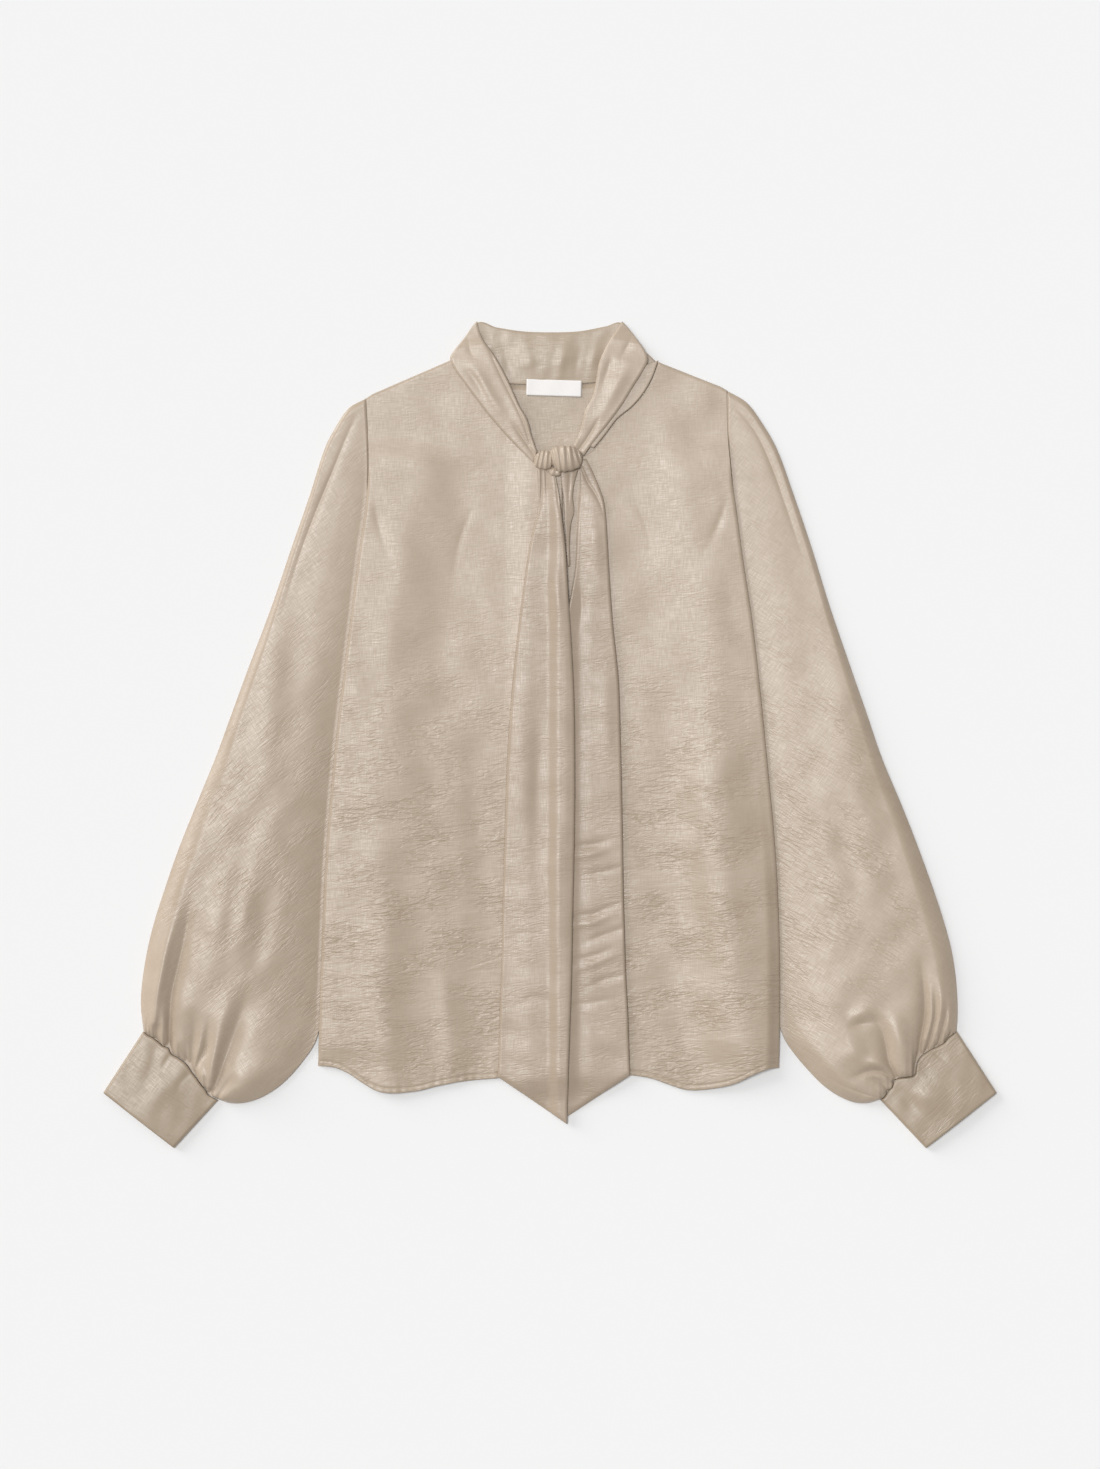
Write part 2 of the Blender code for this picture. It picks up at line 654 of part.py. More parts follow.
def add_cuff(side, rows):
    sign = -1.0 if side == "right" else 1.0
    t = np.linspace(0, 1, CUFF_STEPS + 1)
    u = np.linspace(0, 1, CUFF_COLUMNS + 1)
    start, end = rows
    outer = np.array([[start.outer_out, start.outer_y], [end.outer_out, end.outer_y]])
    inner = np.array([[start.inner_out, start.inner_y], [end.inner_out, end.inner_y]])
    outer = outer[0] + (outer[1] - outer[0]) * t[:, None]
    inner = inner[0] + (inner[1] - inner[0]) * t[:, None]
    plan = outer[:, None] * (1 - u[:, None]) + inner[:, None] * u[:, None]
    crown = np.clip(4 * u * (1 - u), 0, 1) ** 0.7
    top = CUFF_EDGE_TOP + CUFF_CROWN * crown * (0.6 + 0.4 * t[:, None])
    under = np.linspace(0, CUFF_COLUMNS, 5).round().astype(int)
    floor = np.zeros(len(t))
    outer_ring, inner_ring = flattened_ring(
        sign * plan[..., 0], plan[..., 1], top, floor, CUFF_WALL, 0.2, under
    )
    return add_wound_tube("cuff_" + side, outer_ring, inner_ring, SATIN_CUFF, sign)


def add_back():
    """The back: one sheet, flat on the floor but for its edges over the sleeves."""

    def top_edge(x):
        edge = SHOULDER_RIGHT[:-1] + NECK_BACK + SHOULDER_LEFT[1:]
        return edge_line(edge, x)

    columns = BODY_COLUMNS + BACK_NECK_COLUMNS
    xr, yr = body_grid("right", top_edge, columns, 0.0)
    xl, yl = body_grid("left", top_edge, columns, 0.0)
    x = np.concatenate([xr, xl[:, 1:]], axis=1)
    y = np.concatenate([yr, yl[:, 1:]], axis=1)
    y[0] += BACK_SHORTER
    x[:, 0] += BACK_INSET
    x[:, -1] -= BACK_INSET
    return add_sheet("back", x, y, CLOTH + lift(x, y), CLOTH, SATIN_INSIDE)


def add_front(side):
    """A front panel, which runs past the centre line under or over the other one."""
    if side == "right":
        edge = SHOULDER_RIGHT[:-1] + NECK_FRONT_RIGHT
    else:
        edge = NECK_FRONT_LEFT[:-1] + SHOULDER_LEFT
    columns = BODY_COLUMNS + FRONT_NECK_COLUMNS
    x, y = body_grid(side, lambda at: edge_line(edge, at), columns, LAP_HALF)
    top = PANEL_TOP + 0.1 + lift(x, y) + front_relief(x, y)
    if side == "right":
        top = top + lap_rise(x)
    return add_sheet("front_" + side, x, y, top, CLOTH, SATIN_CHEST)


def add_collar_back():
    u = np.linspace(0, 1, COLLAR_BACK_COLUMNS + 1)
    r = np.linspace(0, 1, COLLAR_BACK_ROWS + 1)[:, None]
    x = -88.0 + (100.0 + 88.0) * u
    low = edge_line(NECK_BACK, x) + 2 * SEAM_GAP
    high = edge_line(COLLAR_BACK_TOP, x)
    y = low * (1 - r) + high * r
    x = np.broadcast_to(x, y.shape)
    crown = COLLAR_BACK_CROWN * smooth(1.0 - np.abs(x) / 40.0) * np.sin(np.pi * r)
    return add_sheet("collar_back", x, y, CLOTH + crown, CLOTH, SATIN_INSIDE)


def add_collar(side, rows):
    """A collar band: arched across, with its inner edge dropped towards the inside back."""
    u = np.linspace(0, 1, BAND_COLUMNS + 1)
    outer = np.column_stack([column(rows, "outer_x"), column(rows, "outer_y")])
    inner = np.column_stack([column(rows, "inner_x"), column(rows, "inner_y")])
    plan = outer[:, None] * (1 - u[:, None]) + inner[:, None] * u[:, None]
    x, y = plan[..., 0], plan[..., 1]
    width = np.hypot(x[:, -1] - x[:, 0], y[:, -1] - y[:, 0])[:, None]
    seat = column(rows, "seat")[:, None] + lap_rise(x)
    dropped = np.arange(len(rows))[:, None] < BAND_DROP_ROWS
    raised = np.arange(len(rows))[:, None] > 2
    drop = BAND_INNER_DROP * smooth((u - 0.5) / 0.5) * dropped * raised
    crown = BAND_CROWN * np.sin(np.pi * u) * np.clip(width / 36.0, 0, 1)
    top = seat - drop + crown + BAND
    return add_sheet("collar_" + side, x, y, top, BAND, SATIN_COLLAR)


def add_neck_stand():
    u = np.linspace(0, 1, 4)[:, None]
    outer = np.column_stack([column(NECK_STAND, "outer_x"), column(NECK_STAND, "outer_y")])
    inner = np.column_stack([column(NECK_STAND, "inner_x"), column(NECK_STAND, "inner_y")])
    plan = outer[:, None] * (1 - u) + inner[:, None] * u
    top = np.full(plan.shape[:2], PANEL_TOP - 0.2)
    return add_sheet("neck_stand_left", plan[..., 0], plan[..., 1], top, 1.0, SATIN_COLLAR)


def add_label():
    u, v = np.meshgrid(np.linspace(-0.5, 0.5, 9), np.linspace(-0.5, 0.5, 4))
    across, up = u * LABEL_SIZE[0], v * LABEL_SIZE[1]
    x = LABEL_CENTRE.x + across * np.cos(LABEL_TILT) - up * np.sin(LABEL_TILT)
    y = LABEL_CENTRE.y + across * np.sin(LABEL_TILT) + up * np.cos(LABEL_TILT)
    top = np.full(x.shape, CLOTH + SEAM_GAP + LABEL_WALL)
    return add_sheet("neck_label", x, y, top, LABEL_WALL, LABEL_WHITE, LABEL_ROUGHNESS)


def tie_seat(x, y):
    """Underside of a tie: just over the fronts, and down to the floor past the hem."""
    on_front = PANEL_TOP + 0.1 + SEAM_GAP + lap_rise(x)
    past_hem = (edge_curve(HEM, x) - TIE_FLOOR_START - y) / TIE_FLOOR_RUN
    return on_front * (1.0 - smooth(past_hem))


def tie_plan(rows, columns):
    u = np.linspace(0, 1, columns + 1)
    left = np.column_stack([column(rows, "left_x"), column(rows, "left_y")])
    right = np.column_stack([column(rows, "right_x"), column(rows, "right_y")])
    plan = left[:, None] * (1 - u[:, None]) + right[:, None] * u[:, None]
    width = np.hypot(*(right - left).T)[:, None]
    return plan[..., 0], plan[..., 1], u, width


def add_tie_left():
    """The tie end that lies below, seen to the wearer's left of the other."""
    x, y, u, width = tie_plan(TIE_LEFT, TIE_COLUMNS)
    crown = TIE_CROWN * np.sin(np.pi * u) * np.clip(width / 50.0, 0, 1) * smooth((x - 26.0) / 14.0)
    return add_sheet("tie_left", x, y, tie_seat(x, y) + crown + BAND, BAND, SATIN_TIE)


def add_tie_right():
    """The tie end on top, lifted where it crosses the other one."""
    x, y, u, width = tie_plan(TIE_RIGHT, TIE_COLUMNS)
    crown = TIE_CROWN * np.sin(np.pi * u) * np.clip(width / 50.0, 0, 1)
    over = (BAND + SEAM_GAP + TIE_CLEAR) * smooth((x - TIE_OVER_START) / TIE_OVER_RUN)
    return add_sheet("tie_right", x, y, tie_seat(x, y) + crown + over + BAND, BAND, SATIN_TIE)


def add_tie_fold():
    x, y, u, _ = tie_plan(TIE_FOLD, 3)
    crown = 0.8 * np.sin(np.pi * u)
    return add_sheet("tie_fold", x, y, tie_seat(x, y) + crown + CLOTH, CLOTH, SATIN_TIE)


def add_knot():
    """The knot: rounded sections across it, closed to a point at each end."""
    turn = np.linspace(0, 2 * np.pi, KNOT_RING, endpoint=False)
    round_y = np.sign(np.cos(turn)) * np.abs(np.cos(turn)) ** 0.8
    round_z = np.sign(np.sin(turn)) * np.abs(np.sin(turn)) ** 0.8
    middle = (column(KNOT, "low_y") + column(KNOT, "high_y")) / 2
    half = (column(KNOT, "high_y") - column(KNOT, "low_y")) / 2
    rise = (column(KNOT, "top") - KNOT_UNDERSIDE) / 2
    y = middle[:, None] + half[:, None] * round_y
    z = KNOT_UNDERSIDE + rise[:, None] * (1 + round_z)
    x = np.broadcast_to(column(KNOT, "x")[:, None], y.shape)
    points = np.stack([x, y, z], axis=-1).reshape(-1, 3)
    ends = np.array([
        [KNOT[0].x - 0.8, middle[0], KNOT_UNDERSIDE + rise[0]],
        [KNOT[-1].x + 0.8, middle[-1], KNOT_UNDERSIDE + rise[-1]],
    ])
    first, final = len(points), len(points) + 1
    last = (len(KNOT) - 1) * KNOT_RING
    faces = ring_faces(0, KNOT_RING, len(KNOT)).tolist()
    for i in range(KNOT_RING):
        j = (i + 1) % KNOT_RING
        faces.append([first, j, i])
        faces.append([final, last + i, last + j])
    return add_object("knot", np.concatenate([points, ends]), faces, SATIN_COLLAR)


for leftover in list(bpy.data.objects):
    bpy.data.objects.remove(leftover)
blouse = bpy.data.collections.new("tie_neck_blouse")
bpy.context.scene.collection.children.link(blouse)

add_back()
add_front("right")
add_front("left")
add_sleeve("right", SLEEVE_RIGHT, SLEEVE_FOLDS_RIGHT, GATHERS_RIGHT)
add_sleeve("left", SLEEVE_LEFT, SLEEVE_FOLDS_LEFT, GATHERS_LEFT)
add_cuff("right", CUFF_RIGHT)
add_cuff("left", CUFF_LEFT)
add_collar_back()
add_collar("right", COLLAR_RIGHT)
add_collar("left", COLLAR_LEFT)
add_neck_stand()
add_knot()
add_tie_left()
add_tie_right()
add_tie_fold()
add_label()
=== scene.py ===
"""The looks of a tie neck blouse in washed satin, laid flat and face up on a pale floor.

+Y points to the collar and +Z is up. Left and right in the names are the wearer's, so the
right side lies at -X. Shapes are worked out in millimetres and put into meshes in metres.
Every piece of cloth is a height over a plan: a grid of plan points, and a height for each.
"""

from collections import namedtuple
from math import radians

import bpy
import numpy as np
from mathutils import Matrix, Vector


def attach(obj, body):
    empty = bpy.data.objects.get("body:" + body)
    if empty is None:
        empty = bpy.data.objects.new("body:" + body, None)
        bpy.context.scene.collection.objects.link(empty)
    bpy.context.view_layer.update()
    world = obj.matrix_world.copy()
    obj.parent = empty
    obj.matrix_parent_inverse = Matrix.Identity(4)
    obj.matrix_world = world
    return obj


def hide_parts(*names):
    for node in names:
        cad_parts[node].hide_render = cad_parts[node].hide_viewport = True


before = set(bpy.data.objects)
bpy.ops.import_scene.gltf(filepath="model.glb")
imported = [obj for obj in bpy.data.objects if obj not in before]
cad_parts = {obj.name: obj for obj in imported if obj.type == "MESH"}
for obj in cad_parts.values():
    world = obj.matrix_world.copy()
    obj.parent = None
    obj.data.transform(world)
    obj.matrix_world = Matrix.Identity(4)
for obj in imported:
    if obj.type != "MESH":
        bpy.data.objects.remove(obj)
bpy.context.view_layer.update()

MM = 0.001


def table(kind, rows):
    """Rows of numbers as named tuples of one kind."""
    return tuple(kind(*row) for row in rows)


# Walls of the dressed cloth, thinner than the solids' walls.
CLOTH = 0.7
BAND_WALL = 0.45

# Sizes shared with the solids.
LAYER = 1.2
SEAM_GAP = 0.4
PANEL_TOP = 2.7
TUCK_WIDTH = 35.0
TUCK_LIFT = 3.1
FOLD_START_Y = 250.0
FOLD_SOFT = 40.0
UNDERARM_Y = 128.0
SLEEVE_LEAVES_Y = -292.0
HEM_SOFT = 26.0
LAP_HALF = 12.0
LAP_STEP = 1.5

# Sizes of the scene alone.
TUCK_SLOPE = 60.0
TUCK_MARGIN = 4.0
HEM_BAND = 4.8

# How edges turn down: how far in from the edge, and how far down.
SIDE_ROLL = (3.2, 2.2)
TOP_ROLL = (2.6, 1.6)
HEM_ROLL = (1.4, 0.5)
CUFF_END_ROLL = (2.0, 0.7)
CUFF_SEAM_ROLL = (2.4, 1.0)
COLLAR_TOP_ROLL = (2.0, 0.8)
STAND_ROLL = (1.6, 1.0)
LABEL_ROLL = (0.9, 0.5)

# Walls of the thinner pieces and of the cuffs.
THIN_WALL = 0.6
CUFF_WALL = 1.0

# How crushed the satin is, which also sets its painted shade: its least, what it gains down the body,
# and where it gains it.
CRINKLE_LEAST = 0.22
CRINKLE_GAIN = 0.78
CRINKLE_FROM_Y = 190.0
CRINKLE_RUN = 330.0

# How far the weave of the sleeves and cuffs is turned from level, in degrees.
SLEEVE_TURN = 34.0
CUFF_TURN = -40.0

# Small heights and gaps.
FRONT_GAP = 0.1
HEM_GROOVE = 0.42
HEM_GROOVE_WIDTH = 0.9
HEM_PUCKER = 0.22
BACK_HEM_IN = 3.0
BACK_SIDE_IN = 0.8
STAND_TOP = 1.15
TIE_OVER = 2.9
COLLAR_BACK_CROWN = 2.2
COLLAR_BACK_LOW = 0.9

# Half widths of the body: the side edges, seen from the front, at each height.
Side = namedtuple("Side", "y right left")
BODY_SIDES = table(Side, (
    (-345, 221.0, 218.0), (-316, 220.5, 218.0), (-217, 217.5, 218.5), (-115, 213.0, 214.5),
    (-15, 204.5, 205.5), (50, 197.0, 199.0), (110, 189.5, 192.0), (170, 182.0, 183.0),
    (215, 175.5, 177.0), (250, 172.5, 172.0), (285, 173.0, 169.0), (325, 175.0, 168.0),
))

# The hem hangs lowest at two soft folds, one on each front.
Edge = namedtuple("Edge", "x y")
HEM = table(Edge, (
    (-222, -314.7), (-204, -316.6), (-191, -322.3), (-178, -331.0), (-163, -339.0),
    (-129, -339.0), (-106, -333.7), (-86, -329.9), (-45, -326.1), (0, -321.0), (76, -323.7),
    (97, -327.0), (113, -332.7), (130, -337.7), (154, -336.5), (175, -331.8), (195, -322.3),
    (208, -317.5), (220, -316.6),
))
SHOULDER_RIGHT = (Edge(-176, 319.0), Edge(-169, 323.7), Edge(-90, 358.0))
SHOULDER_LEFT = (Edge(103.5, 354.0), Edge(162, 331.0), Edge(169, 327.0))
NECK_BACK = table(Edge, (
    (-90, 358.0), (-66, 343.0), (-38, 333.2), (0, 331.0), (42, 334.2), (74, 342.0),
    (103.5, 354.0),
))
NECK_FRONT_RIGHT = table(Edge, (
    (-90, 358.0), (-73, 336.0), (-57, 313.0), (-36, 287.5), (-14, 267.0), (0, 259.5), (13, 258.0),
))
NECK_FRONT_LEFT = table(Edge, (
    (-13, 256.0), (10, 257.5), (28, 261.5), (42.8, 270.5), (64.6, 300.0), (78.9, 311.4),
    (89.3, 323.7), (97.9, 338.9), (103.5, 354.0),
))

# Distance of each high shoulder point from the centre line.
NECK_POINT = {"right": 90.0, "left": 103.5}

# Folds and creases: each runs along a smooth path. A height below zero is a trough.
# start and end say how much of the height is left at the path's two ends, and a sharp one
# has a narrow floor with soft sides, as a gather has.
Fold = namedtuple("Fold", "height width end_width start end sharp path")
BODY_FOLDS = table(Fold, (
    (5.2, 30, 36, 0, 1, False, ((143, 60), (151, -24), (159, -110), (177, -252), (190, -312))),
    (2.0, 26, 30, 0, 1, False, ((206, -60), (212, -170), (214, -330))),
    (1.2, 22, 22, 0, 0, False, ((104, 110), (101, 20), (98, -60))),
    (2.6, 52, 60, 0, 1, False, ((-122, 90), (-130, -60), (-134, -200), (-140, -338))),
    (1.5, 14, 16, 0, 1, False, ((-160, -120), (-157, -220), (-152, -338))),
    (0.9, 9, 11, 0, 1, False, ((-104, -210), (-98, -270), (-94, -330))),
    (0.8, 16, 16, 0, 0, False, ((-140, 215), (-150, 120), (-158, 20))),
    (0.9, 14, 14, 0, 0, False, ((146, 215), (158, 120), (166, 20))),
    (-0.6, 3.0, 4.0, 0, 0, True, ((-171, 235), (-160, 190), (-143, 140))),
    (-0.7, 3.0, 5.0, 0, 0, True, ((171, 232), (158, 196), (138, 160))),
    (-0.5, 3.0, 5.0, 0, 0, True, ((-62, 236), (-84, 190), (-96, 130))),
    (-0.5, 3.0, 5.0, 0, 0, True, ((74, 236), (92, 196), (100, 140))),
))

# Sleeve rows from the armhole to the cuff. "out" is the distance from the centre line.
SleeveRow = namedtuple("SleeveRow", "outer_out outer_y inner_out inner_y")
SLEEVE_RIGHT = table(SleeveRow, (
    (175.8, 319.6, 152.0, 128.0), (192.0, 310.4, 154.0, 106.0), (205.0, 291.0, 157.0, 82.0),
    (214.0, 273.0, 160.5, 56.0), (228.0, 229.0, 166.5, 20.0), (246.0, 177.0, 174.0, -24.0),
    (264.1, 123.5, 182.0, -68.0), (286.5, 64.0, 190.0, -112.0), (303.0, 19.0, 197.0, -154.0),
    (318.0, -22.0, 203.5, -194.0), (336.0, -66.0, 209.5, -232.0), (353.5, -110.0, 216.0, -266.0),
    (366.0, -146.0, 223.5, -293.0), (376.2, -178.0, 235.6, -311.0),
    (382.8, -205.0, 248.0, -325.5), (387.0, -230.0, 262.0, -337.5),
    (388.8, -249.0, 276.5, -345.6), (388.6, -262.0, 291.5, -350.0),
    (387.5, -273.0, 305.0, -350.0), (386.4, -281.8, 315.2, -346.8),
))
SLEEVE_LEFT = table(SleeveRow, (
    (170.4, 327.0, 152.0, 128.0), (188.1, 316.1, 154.0, 106.0), (203.3, 295.2, 157.0, 82.0),
    (216.0, 272.0, 160.5, 56.0), (231.5, 229.0, 166.5, 20.0), (249.0, 177.0, 174.0, -24.0),
    (265.5, 123.5, 182.0, -68.0), (285.8, 64.0, 190.0, -112.0), (301.5, 19.0, 197.0, -154.0),
    (315.5, -22.0, 203.5, -194.0), (335.5, -70.0, 209.5, -232.0), (351.0, -110.0, 215.5, -266.0),
    (364.0, -146.0, 222.5, -288.5), (374.5, -178.0, 233.5, -305.0),
    (381.6, -205.0, 246.0, -319.5), (385.5, -230.0, 260.0, -333.5),
    (387.0, -249.0, 274.5, -343.5), (387.4, -262.0, 290.0, -349.6),
    (387.2, -273.0, 303.5, -350.0), (386.6, -281.6, 313.6, -346.8),
))
ARMHOLE_FADE = (1.0, 0.7, 0.42, 0.2, 0.06, 0.0)
SLEEVE_ROWS = 230
SLEEVE_COLUMNS = 170
SLEEVE_UNDER_COLUMNS = 36
DEEPEST_CREASE = 9.0

# Height of each sleeve's upper wall, by distance from the cuff seam.
Puff = namedtuple("Puff", "along right left")
PUFF = table(Puff, (
    (0, 4.2, 4.2), (4, 7.4, 6.8), (10, 9.8, 8.8), (25, 12.0, 10.4), (60, 13.6, 11.4),
    (110, 13.4, 11.0), (180, 12.0, 9.6), (250, 10.2, 8.2), (330, 7.8, 6.8), (430, 5.6, 5.2),
    (560, 4.0, 3.8), (720, PANEL_TOP, PANEL_TOP),
))

# How far from the body's side edge each sleeve takes to rise to its full height.
Rise = namedtuple("Rise", "y right left")
SLEEVE_RISE = table(Rise, (
    (-330, 120.0, 60.0), (-250, 96.0, 70.0), (-180, 76.0, 80.0), (-110, 60.0, 80.0),
    (0, 46.0, 70.0), (100, 36.0, 50.0), (250, 30.0, 34.0),
))

# Where each cuff's gathered seam runs off the straight: share along it from the outer end,
# and how far it wanders towards the sleeve.
Wander = namedtuple("Wander", "place off")
SEAM_RIGHT = table(Wander, (
    (0.0, 0.0), (0.06, 0.5), (0.114, 2.0), (0.19, 2.4), (0.25, 2.8), (0.29, 4.7), (0.35, 2.4),
    (0.44, 4.4), (0.526, 5.0), (0.63, 2.6), (0.70, 1.6), (0.76, 0.2), (0.83, -0.6), (0.89, -2.4),
    (0.95, -1.2), (1.0, 0.0),
))
SEAM_LEFT = table(Wander, (
    (0.0, 0.0), (0.10, 0.8), (0.16, 0.0), (0.22, 0.8), (0.31, 3.4), (0.43, 4.9), (0.50, 2.6),
    (0.587, -4.0), (0.65, -1.6), (0.70, 2.0), (0.764, 4.8), (0.83, 1.6), (0.893, 0.9),
    (0.95, -0.4), (1.0, 0.0),
))
SEAM_REACH = 12.0

# Folds of the sleeves and gathers at the cuffs, in plan.
SLEEVE_FOLDS_RIGHT = table(Fold, (
    (-9.0, 2.6, 8.0, 1, 0, True,
     ((-362, -304), (-361, -269), (-359, -244), (-353, -220), (-348, -198), (-343, -171), (-338, -140))),
    (2.6, 4.5, 6.0, 1, 0, False,
     ((-375, -272), (-373, -250), (-368, -225), (-362, -198), (-353, -168), (-342, -136))),
    (-4.0, 2.0, 4.5, 1, 0, True, ((-374, -291), (-373, -278), (-371, -262))),
    (2.0, 3.2, 4.5, 0.4, 0, False, ((-367, -292), (-366, -272), (-366, -240))),
    (-1.8, 1.6, 2.6, 1, 0, True, ((-383, -286), (-383, -276), (-381, -262))),
    (-5.0, 2.2, 6.0, 1, 0, True, ((-342, -320), (-347, -303), (-354, -291))),
    (-6.0, 2.6, 11.0, 1, 0, True, ((-342, -320), (-339, -297), (-337, -278), (-340, -255))),
    (2.2, 2.8, 6.0, 1, 0, False, ((-336, -318), (-333, -295), (-328, -268))),
    (-6.0, 2.0, 6.0, 1, 0, True,
     ((-338, -322), (-334, -311), (-328, -299), (-325, -282), (-322, -262))),
    (1.8, 3.6, 4.0, 0.3, 0, False, ((-333, -318), (-328, -326), (-325, -333))),
    (3.0, 3.6, 12.0, 1, 0, False,
     ((-321, -333), (-320, -317), (-316, -297), (-309, -272), (-301, -250), (-292, -226))),
    (-8.4, 2.8, 15.0, 1, 0, True,
     ((-323, -341), (-316, -328), (-310, -311), (-303, -291), (-296, -269), (-289, -247), (-283, -222))),
    (-3.0, 2.2, 6.0, 1, 0, True, ((-317, -347), (-309, -334), (-297, -319))),
    (1.8, 12.0, 14.0, 0.3, 0.2, False, ((-304, -336), (-281, -318), (-264, -294))),
    (1.6, 11.0, 13.0, 0, 0, False,
     ((-325, -250), (-320, -216), (-315, -177), (-308, -130), (-300, -70))),
    (-1.8, 9.0, 12.0, 0, 0, False, ((-285, -240), (-274, -194), (-266, -150), (-258, -100))),
    (1.4, 8.0, 9.0, 0, 0, False, ((-302, -222), (-293, -183), (-284, -140), (-276, -90))),
    (1.8, 14.0, 18.0, 0, 0, False, ((-258, 130), (-268, 30), (-279, -60), (-292, -120))),
    (-1.4, 9.0, 12.0, 0, 0, False, ((-330, -90), (-318, -50), (-300, 10))),
    (-0.9, 2.4, 3.0, 0.4, 0, True,
     ((-184, 303), (-193, 284), (-205, 254), (-224, 208), (-240, 164), (-259, 100))),
))
SLEEVE_FOLDS_LEFT = table(Fold, (
    (-7.0, 2.4, 6.0, 1, 0, True,
     ((350, -306), (351, -294), (354, -278), (356, -261), (355, -240), (350, -205))),
    (-4.0, 2.0, 4.5, 1, 0, True, ((357, -302), (361, -289), (365, -272), (366, -255), (365, -236))),
    (-3.6, 2.0, 4.0, 1, 0, True, ((367, -297), (372, -283), (376, -266), (377, -248))),
    (-2.4, 1.8, 3.0, 1, 0, True, ((377, -291), (382, -280), (383, -266))),
    (1.8, 2.6, 3.6, 0.6, 0, False, ((357, -289), (362, -269), (361, -250), (357, -226))),
    (1.6, 2.6, 3.6, 0.6, 0, False, ((365, -283), (370, -266), (371, -250), (369, -224))),
    (1.2, 2.4, 3.2, 0.6, 0, False, ((375, -280), (379, -266), (380, -246))),
    (-6.4, 2.4, 8.0, 1, 0, True,
     ((329, -325), (322, -311), (319, -294), (315, -280), (308, -267), (298, -254))),
    (3.0, 8.0, 11.0, 0.4, 0, False, ((338, -317), (333, -294), (327, -272), (318, -248))),
    (-5.0, 1.8, 2.4, 1, 0, True, ((347, -321), (348, -311), (349, -300))),
    (-4.2, 2.2, 5.0, 1, 0, True, ((325, -328), (317, -321), (304, -319), (290, -324), (278, -326))),
    (1.8, 4.6, 6.0, 0.6, 0, False, ((321, -316), (307, -311), (293, -316))),
    (-3.6, 2.0, 4.0, 1, 0, True, ((321, -340), (317, -332), (308, -327), (298, -328))),
    (-1.0, 1.6, 2.2, 0.6, 0.1, True,
     ((313, -345), (298, -341), (284, -336), (269, -329), (254, -318))),
    (-2.2, 3.0, 4.6, 0, 0, True, ((280, -278), (298, -274), (312, -272), (322, -268))),
    (1.2, 5.0, 6.0, 0, 0, False, ((280, -268), (298, -264), (314, -260))),
    (1.6, 11.0, 12.0, 0, 0, False, ((301, -294), (284, -304), (266, -300))),
    (1.8, 15.0, 20.0, 0, 0, False, ((266, 130), (279, 20), (298, -80), (322, -190))),
    (-1.2, 10.0, 14.0, 0, 0, False, ((262, -60), (284, -120), (306, -180))),
    (-0.8, 2.4, 3.0, 0.4, 0, True, ((178, 310), (196, 287), (208, 262), (228, 206), (246, 150))),
))

# Cuff corners by distance from the centre line: at the seam, then at the open end.
CuffRow = namedtuple("CuffRow", "outer_out outer_y inner_out inner_y")
CUFF_RIGHT = table(CuffRow, (
    (386.7, -282.1, 315.5, -347.5), (424.7, -340.3, 357.2, -393.0),
))
CUFF_LEFT = table(CuffRow, (
    (386.9, -281.9, 313.9, -347.1), (424.7, -340.3, 357.2, -393.0),
))
CUFF_ROWS = 60
CUFF_COLUMNS = 90
CUFF_TOP = 6.6
CUFF_DEPTH = 66.0
CUFF_UNDER_COLUMNS = 30
CUFF_FOLDS_RIGHT = table(Fold, (
    (1.3, 9.0, 12.0, 0.2, 0.5, False, ((-352, -318), (-368, -340), (-385, -362))),
    (-0.8, 6.0, 8.0, 0.6, 0, False, ((-374, -300), (-378, -318), (-392, -340))),
    (-0.6, 3.0, 5.0, 1, 0, True, ((-344, -323), (-352, -332), (-356, -346))),
    (-0.5, 2.4, 4.0, 1, 0, True, ((-362, -306), (-367, -314), (-370, -326))),
))
CUFF_FOLDS_LEFT = table(Fold, (
    (1.4, 9.0, 12.0, 0.2, 0.5, False, ((346, -332), (362, -344), (384, -352))),
    (-0.8, 6.0, 8.0, 0.6, 0, False, ((334, -340), (350, -358), (366, -372))),
    (-0.6, 3.0, 5.0, 1, 0, True, ((352, -314), (358, -322), (368, -330))),
    (-0.5, 2.4, 4.0, 1, 0, True, ((366, -302), (374, -308), (380, -318))),
))

# Collar bands that come down the front: inner edge, outer edge, height of the underside.
BandRow = namedtuple("BandRow", "inner_x inner_y outer_x outer_y seat")
COLLAR_RIGHT = table(BandRow, (
    (-69.4, 393.1, -74.0, 388.0, 1.6), (-66.5, 381.7, -81.7, 376.9, 1.6),
    (-62.7, 374.1, -89.3, 367.4, 2.2), (-57.0, 366.4, -95.0, 357.9, 3.0),
    (-51.3, 358.0, -90.3, 346.5, 3.1), (-44.7, 346.5, -82.7, 336.0, 3.1),
    (-36.1, 328.5, -72.2, 321.5, 3.1), (-29.5, 313.3, -60.8, 306.6, 3.1),
    (-21.9, 300.0, -47.5, 290.9, 3.1), (-17.6, 284.5, -32.3, 274.3, 3.1),
    (-12.4, 269.0, -15.8, 258.5, 3.6),
))
COLLAR_LEFT = table(BandRow, (
    (68.4, 393.1, 73.1, 388.4, 1.6), (63.7, 385.4, 83.6, 375.0, 1.6),
    (57.0, 375.9, 91.2, 363.6, 2.2), (51.3, 365.5, 93.1, 356.0, 3.0),
    (46.6, 354.1, 88.4, 345.5, 3.1), (43.7, 337.5, 78.9, 330.4, 3.1),
    (39.9, 321.0, 68.4, 313.3, 3.1), (33.3, 308.5, 58.0, 299.0, 3.1),
    (30.4, 296.2, 47.5, 285.7, 3.1), (27.6, 286.7, 38.6, 274.4, 3.1),
    (22.0, 274.0, 32.0, 265.0, 3.8),
))
